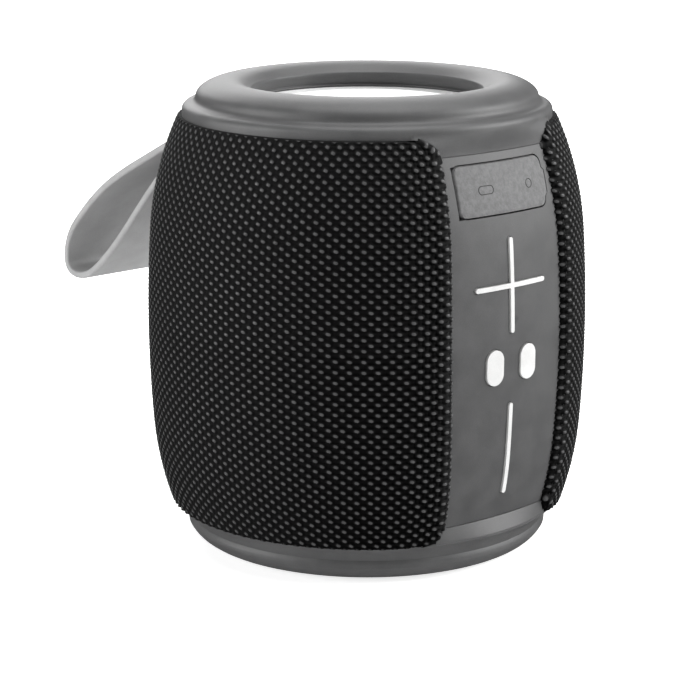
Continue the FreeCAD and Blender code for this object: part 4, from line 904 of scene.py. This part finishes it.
@dataclass
class WovenCover:
    """The woven cover, thread by thread, with its edges rolled in round the control strip.

    Sizes are in millimetres.  The weave is plain: level threads pass over and under upright ones.
    """

    barrel: Barrel = field(default_factory=Barrel)
    low: float = 9.0
    high: float = 94.0
    window_half: float = 14.8
    window_bend: float = 520.0
    window_corner: float = 5.0
    upright_threads: int = 208
    level_threads: int = 76
    steps: int = 4
    roll: float = 2.4
    corner_roll: float = 0.4
    steepest: float = 1.1
    wall: float = 0.9
    wave: float = 0.30
    swell: float = 0.42
    level_fill: float = 2.1
    flatness: float = 0.7
    upright_fill: float = 3.1
    upright_sunk: float = 0.34
    slant: float = 0.34
    sink: float = 0.44
    margin: float = 0.15
    settling_threads: int = 7
    settled_degrees: float = 31.0
    fade: float = 6.0
    hem: tuple[float, float] = (0.45, 1.1)
    hem_rise: tuple[float, float] = (0.12, 0.1)
    bracket_half: float = 14.4
    bracket_margin: float = 0.6
    parts: int = 3

    def window_edge(self, height: np.ndarray) -> np.ndarray:
        """Distance from the middle of the strip to the cover's edge.

        Args:
            height: the heights.

        Returns:
            The distances.
        """
        corner = self.window_corner
        low, high = self.low + corner, self.high - corner
        half_tall = (high - low) / 2
        centre = (high + low) / 2
        drop = self.window_bend - math.sqrt(self.window_bend ** 2 - half_tall ** 2)
        along = np.clip(height, low, high) - centre
        side = self.window_half + drop - (self.window_bend - np.sqrt(self.window_bend ** 2 - along ** 2))
        past = np.clip(np.maximum(low - height, height - high), 0, corner)
        return side + corner - np.sqrt(corner ** 2 - past ** 2)

    def height_of(self, across: np.ndarray, up: np.ndarray) -> np.ndarray:
        """How far the threads stand out, from their place counted in threads.

        Args:
            across: place round the barrel, in upright threads.
            up: place up the barrel, in level threads.

        Returns:
            The height, in millimetres.
        """
        row, column = np.round(up), np.round(across)
        across_off, up_off = across - column, up - row
        level_wave = np.cos(np.pi * (across + row))
        level_wave = np.sign(level_wave) * np.abs(level_wave) ** self.flatness
        level_off = up_off + self.slant * across_off * level_wave
        level_round = np.sqrt(np.clip(1 - (self.level_fill * level_off) ** 2, 0, 1))
        level = self.wave * level_wave + self.swell * level_round
        upright_wave = -np.cos(np.pi * (up + column))
        upright_round = np.sqrt(np.clip(1 - (self.upright_fill * across_off) ** 2, 0, 1))
        upright = self.wave * upright_wave + self.swell * upright_round
        return np.maximum(level, upright - self.upright_sunk)

    def sheet(self) -> tuple[np.ndarray, np.ndarray]:
        """Points of the whole cover.

        Returns:
            The points as rows by columns by 3 in millimetres, and their heights from 0 to 1.
        """
        steps = self.steps
        rows = self.level_threads * steps
        nominal = np.linspace(self.low + self.margin, self.high - self.margin, rows + 1)
        thread = 360 / self.upright_threads
        blend_columns = self.settling_threads * steps
        round_columns = round((360 - 2 * self.settled_degrees) / thread * steps)
        edge_x = self.window_edge(nominal)
        slope = np.clip(np.gradient(edge_x, nominal), -self.steepest, self.steepest)
        length = np.sqrt(1 + slope ** 2)
        out_x, out_z = 1 / length, -slope / length
        radius = self.barrel.at(nominal)
        inward = self.sink + self.wave
        past = np.clip(np.abs(nominal - (self.low + self.high) / 2) - (self.high - self.low) / 2
                       + self.window_corner, 0, None) / self.window_corner
        roll = self.roll + (self.corner_roll - self.roll) * smoothstep(past)
        start_x = edge_x + out_x * (roll + inward)
        start_angle = np.degrees(np.arcsin(start_x / radius))
        share = np.linspace(0, 1, blend_columns + 1)[:-1]
        near = start_angle[:, None] + (self.settled_degrees - start_angle)[:, None] * share[None, :]
        middle = np.linspace(self.settled_degrees, 360 - self.settled_degrees, round_columns + 1)
        far = 360 - near[:, ::-1]
        angle = np.concatenate([near, np.broadcast_to(middle, (rows + 1, len(middle))), far], 1)
        arc_from_edge = np.minimum(angle, 360 - angle) - start_angle[:, None]
        arc = np.radians(arc_from_edge) * radius[:, None]
        lift_z = out_z[:, None] * roll[:, None] * smoothstep(1 - arc / self.fade)
        height = nominal[:, None] + lift_z
        tilt = np.radians(angle)
        normal = np.stack([np.sin(tilt), -np.cos(tilt), np.zeros_like(tilt)], -1)
        base = normal * (self.barrel.at(height) - inward)[..., None]
        base[..., 2] = height
        across = angle / thread
        up = (height - self.low) / (self.high - self.low) * self.level_threads
        away = np.stack([out_x, out_z], 1)
        left = self.edge_columns(base[:, 0], normal[:, 0], away, roll, across[:, 0], up[:, 0], Edge.FIRST)
        right = self.edge_columns(base[:, -1], normal[:, -1], away, roll, across[:, -1], up[:, -1],
                                  Edge.LAST)
        base = np.concatenate([left[0], base, right[0]], 1)
        normal = np.concatenate([left[1], normal, right[1]], 1)
        across = np.concatenate([left[2], across, right[2]], 1)
        up = np.concatenate([left[3], up, right[3]], 1)
        heights = self.height_of(across, up)
        points = base + normal * heights[..., None]
        # these heights also drive the yarn's painted shade in the gaps and painted highlight on the float
        # tops
        lift = (heights + self.wave) / (2 * self.wave + self.swell)
        return self.tucked(points, lift, normal)

    def edge_columns(self, start: np.ndarray, normal: np.ndarray, away: np.ndarray, roll: np.ndarray,
                     across: np.ndarray, up: np.ndarray, edge: Edge) -> tuple[np.ndarray, ...]:
        """Columns that roll the cover's edge in towards the strip.

        Args:
            start: the points of the last flat column.
            normal: their outward directions.
            away: sideways and upward parts of the direction away from the strip, for each row.
            roll: radius of the roll, for each row.
            across: the flat column's place in upright threads.
            up: its place in level threads.
            edge: which of the cover's edges it is.

        Returns:
            Points, outward directions, and places across and up, in the order of the columns.
        """
        thread = 2 * math.pi * self.barrel.radius / self.upright_threads
        count = math.ceil((self.roll * math.pi / 2 + self.wall) / thread * self.steps)
        side = edge.value
        level = away[:, 0] * side
        outward = np.stack([-normal[:, 1] * level, normal[:, 0] * level, away[:, 1]], -1)
        reach = roll * math.pi / 2 + self.wall
        columns = []
        for index in range(1, count + 1):
            travel = reach * index / count
            turn = np.minimum(travel / roll, math.pi / 2)[:, None]
            down = np.maximum(travel - roll * math.pi / 2, 0)[:, None]
            facing = normal * np.cos(turn) - outward * np.sin(turn)
            spot = start + (facing - normal) * roll[:, None] - normal * down
            columns.append((spot, facing, across - side * travel / thread, up))
        if edge is Edge.FIRST:
            columns.reverse()
        return tuple(np.stack([column[part] for column in columns], 1) for part in range(4))

    def tucked(self, points: np.ndarray, lift: np.ndarray,
               normal: np.ndarray) -> tuple[np.ndarray, np.ndarray]:
        """Adds rows that turn the cover in under the two rings.

        Args:
            points: the points.
            lift: their heights from 0 to 1.
            normal: their outward directions.

        Returns:
            The points and heights with the added rows.
        """
        level = normal * np.array([1.0, 1.0, 0.0])
        near, deep = self.hem
        near_rise, deep_rise = self.hem_rise
        rows = [points[:1] - level[:1] * deep, points[:1] - level[:1] * near, points,
                points[-1:] - level[-1:] * near, points[-1:] - level[-1:] * deep]
        for index, rise in ((0, -deep_rise), (1, -near_rise), (3, near_rise), (4, deep_rise)):
            rows[index][..., 2] += rise
        # height 0 gives the turned-in rows the yarn's painted gap shade
        flat = np.zeros_like(lift[:1])
        return np.concatenate(rows, 0), np.concatenate([flat, flat, lift, flat, flat], 0)

    def build(self, finishes: Finishes) -> list[bpy.types.Object]:
        """Makes the cover's panels.

        Args:
            finishes: the speaker's finishes.

        Returns:
            The panels.
        """
        points, lift = self.sheet()
        rows, columns = points.shape[:2]
        bracket_low, bracket_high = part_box("strap_bracket")
        low_z, high_z = bracket_low.z / MM + self.bracket_margin, bracket_high.z / MM - self.bracket_margin
        cuts = np.linspace(0, columns - 1, self.parts + 1).round().astype(int)
        names = ("right", "back", "left")
        panels = []
        for name, first, last in zip(names, cuts[:-1], cuts[1:]):
            block = points[:, first:last + 1]
            faces = grid_faces(rows, last - first + 1)
            flat = block.reshape(-1, 3)
            middle = flat[faces].mean(1)
            hidden = ((middle[:, 1] > 0) & (np.abs(middle[:, 0]) < self.bracket_half)
                      & (middle[:, 2] > low_z) & (middle[:, 2] < high_z))
            piece = make_piece(f"woven_cover_{name}", flat * MM, faces[~hidden])
            # the threads' heights; the yarn's colour turns them into painted shade in the gaps and a painted
            # highlight on the float tops
            mark = piece.data.attributes.new("lift", "FLOAT", "POINT")
            mark.data.foreach_set("value", lift[:, first:last + 1].astype(np.float32).ravel())
            finishes.dress(piece, "woven_cover")
            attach(piece, "speaker")
            panels.append(piece)
        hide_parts("fabric_wrap")
        log.info("woven cover: %d rows by %d columns", rows, columns)
        return panels


# ---------------------------------------------------------------- studio

@dataclass
class Studio:
    """Camera, floor and soft lights."""

    eye: Shade = (-0.35166, -0.38243, 0.16961)
    look: Shade = (0.6520, 0.7192, -0.2400)
    lens: float = 124.51
    floor_half: float = 6.0
    floor_glow: float = 0.72

    def build(self) -> None:
        """Sets up the studio."""
        scene = bpy.context.scene
        scene.view_settings.view_transform = "Standard"
        camera = bpy.data.objects.new("camera", bpy.data.cameras.new("camera"))
        camera.data.lens = self.lens
        camera.data.sensor_width = 36.0
        camera.data.clip_start = 0.01
        camera.location = self.eye
        camera.rotation_mode = "QUATERNION"
        camera.rotation_quaternion = Vector(self.look).to_track_quat("-Z", "Y")
        scene.collection.objects.link(camera)
        scene.camera = camera
        self.world()
        self.floor()
        self.light("right_softbox", (0.75, -0.75, 0.50), (0.7, 0.8), 16.0)
        self.light("left_softbox", (-0.95, 0.30, 0.30), (0.4, 0.8), 6.0)
        self.light("low_softbox", (-0.75, 0.62, 0.06), (0.3, 0.3), 3.0)
        self.light("top_softbox", (0.1, 0.0, 1.1), (1.0, 1.0), 11.0)
        self.light("back_softbox", (0.5, 0.9, 0.6), (0.9, 0.7), 8.0)

    def world(self) -> None:
        """Fills the surroundings with a soft even light."""
        world = bpy.data.worlds.new("surroundings")
        bpy.context.scene.world = world
        world.use_nodes = True
        background = world.node_tree.nodes["Background"]
        background.inputs["Color"].default_value = (1, 1, 1, 1)
        background.inputs["Strength"].default_value = 0.06

    def floor(self) -> None:
        """Lays a plain pale floor."""
        half = self.floor_half
        corners = np.array([(-half, -half, 0), (half, -half, 0), (half, half, 0), (-half, half, 0)], float)
        floor = make_piece("floor", corners, [[0, 1, 2, 3]], smooth=False)
        graph = Graph("floor_paint")
        floor.data.materials.append(graph.finish({
            "Base Color": (0.93, 0.93, 0.93), "Roughness": 0.9, "Specular IOR Level": 0.1,
            "Emission Color": (1.0, 1.0, 1.0), "Emission Strength": self.floor_glow}))
        floor.visible_glossy = False

    def light(self, name: str, at: Shade, size: tuple[float, float], power: float) -> None:
        """Adds a soft light aimed at the speaker's middle.

        Args:
            name: the light's name.
            at: its place.
            size: its width and height.
            power: its power in watts.
        """
        lamp = bpy.data.lights.new(name, "AREA")
        lamp.shape = "RECTANGLE"
        lamp.size, lamp.size_y = size
        lamp.energy = power
        holder = bpy.data.objects.new(name, lamp)
        holder.location = at
        holder.rotation_mode = "QUATERNION"
        holder.rotation_quaternion = (Vector((0, 0, 0.05)) - Vector(at)).to_track_quat("-Z", "Y")
        bpy.context.scene.collection.objects.link(holder)


# ---------------------------------------------------------------- the whole speaker

@dataclass
class Speaker:
    """The speaker: its frame, its finishes and the pieces built over the frame."""

    frame: dict
    finishes: Finishes
    own_finish: dict = field(default_factory=lambda: {"radiator_surround": "white_roll"})

    def dress_nodes(self) -> None:
        """Gives every node of the frame its finish."""
        for part in self.frame["record"]["subparts"]:
            node = self.frame["nodes"][part["node"]]
            self.finishes.dress(node, self.own_finish.get(part["node"], part["material_slot"]))
            node.data.polygons.foreach_set("use_smooth", np.ones(len(node.data.polygons), bool))
            log.info("node %s wears %s", part["node"], part["material_slot"])


def main() -> None:
    """Builds the speaker and its studio."""
    logging.basicConfig(level=logging.INFO)
    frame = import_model()
    Studio().build()
    speaker = Speaker(frame, Finishes())
    speaker.dress_nodes()
    cover = WovenCover()
    cover.build(speaker.finishes)
    port_cover = PortCover()
    for piece in (TopRing().build(speaker.finishes, cover), Strap().build(speaker.finishes),
                  port_cover.build(speaker.finishes), *port_cover.marks(speaker.finishes)):
        log.info("piece %s", piece.name)


if __name__ == "__main__":
    main()
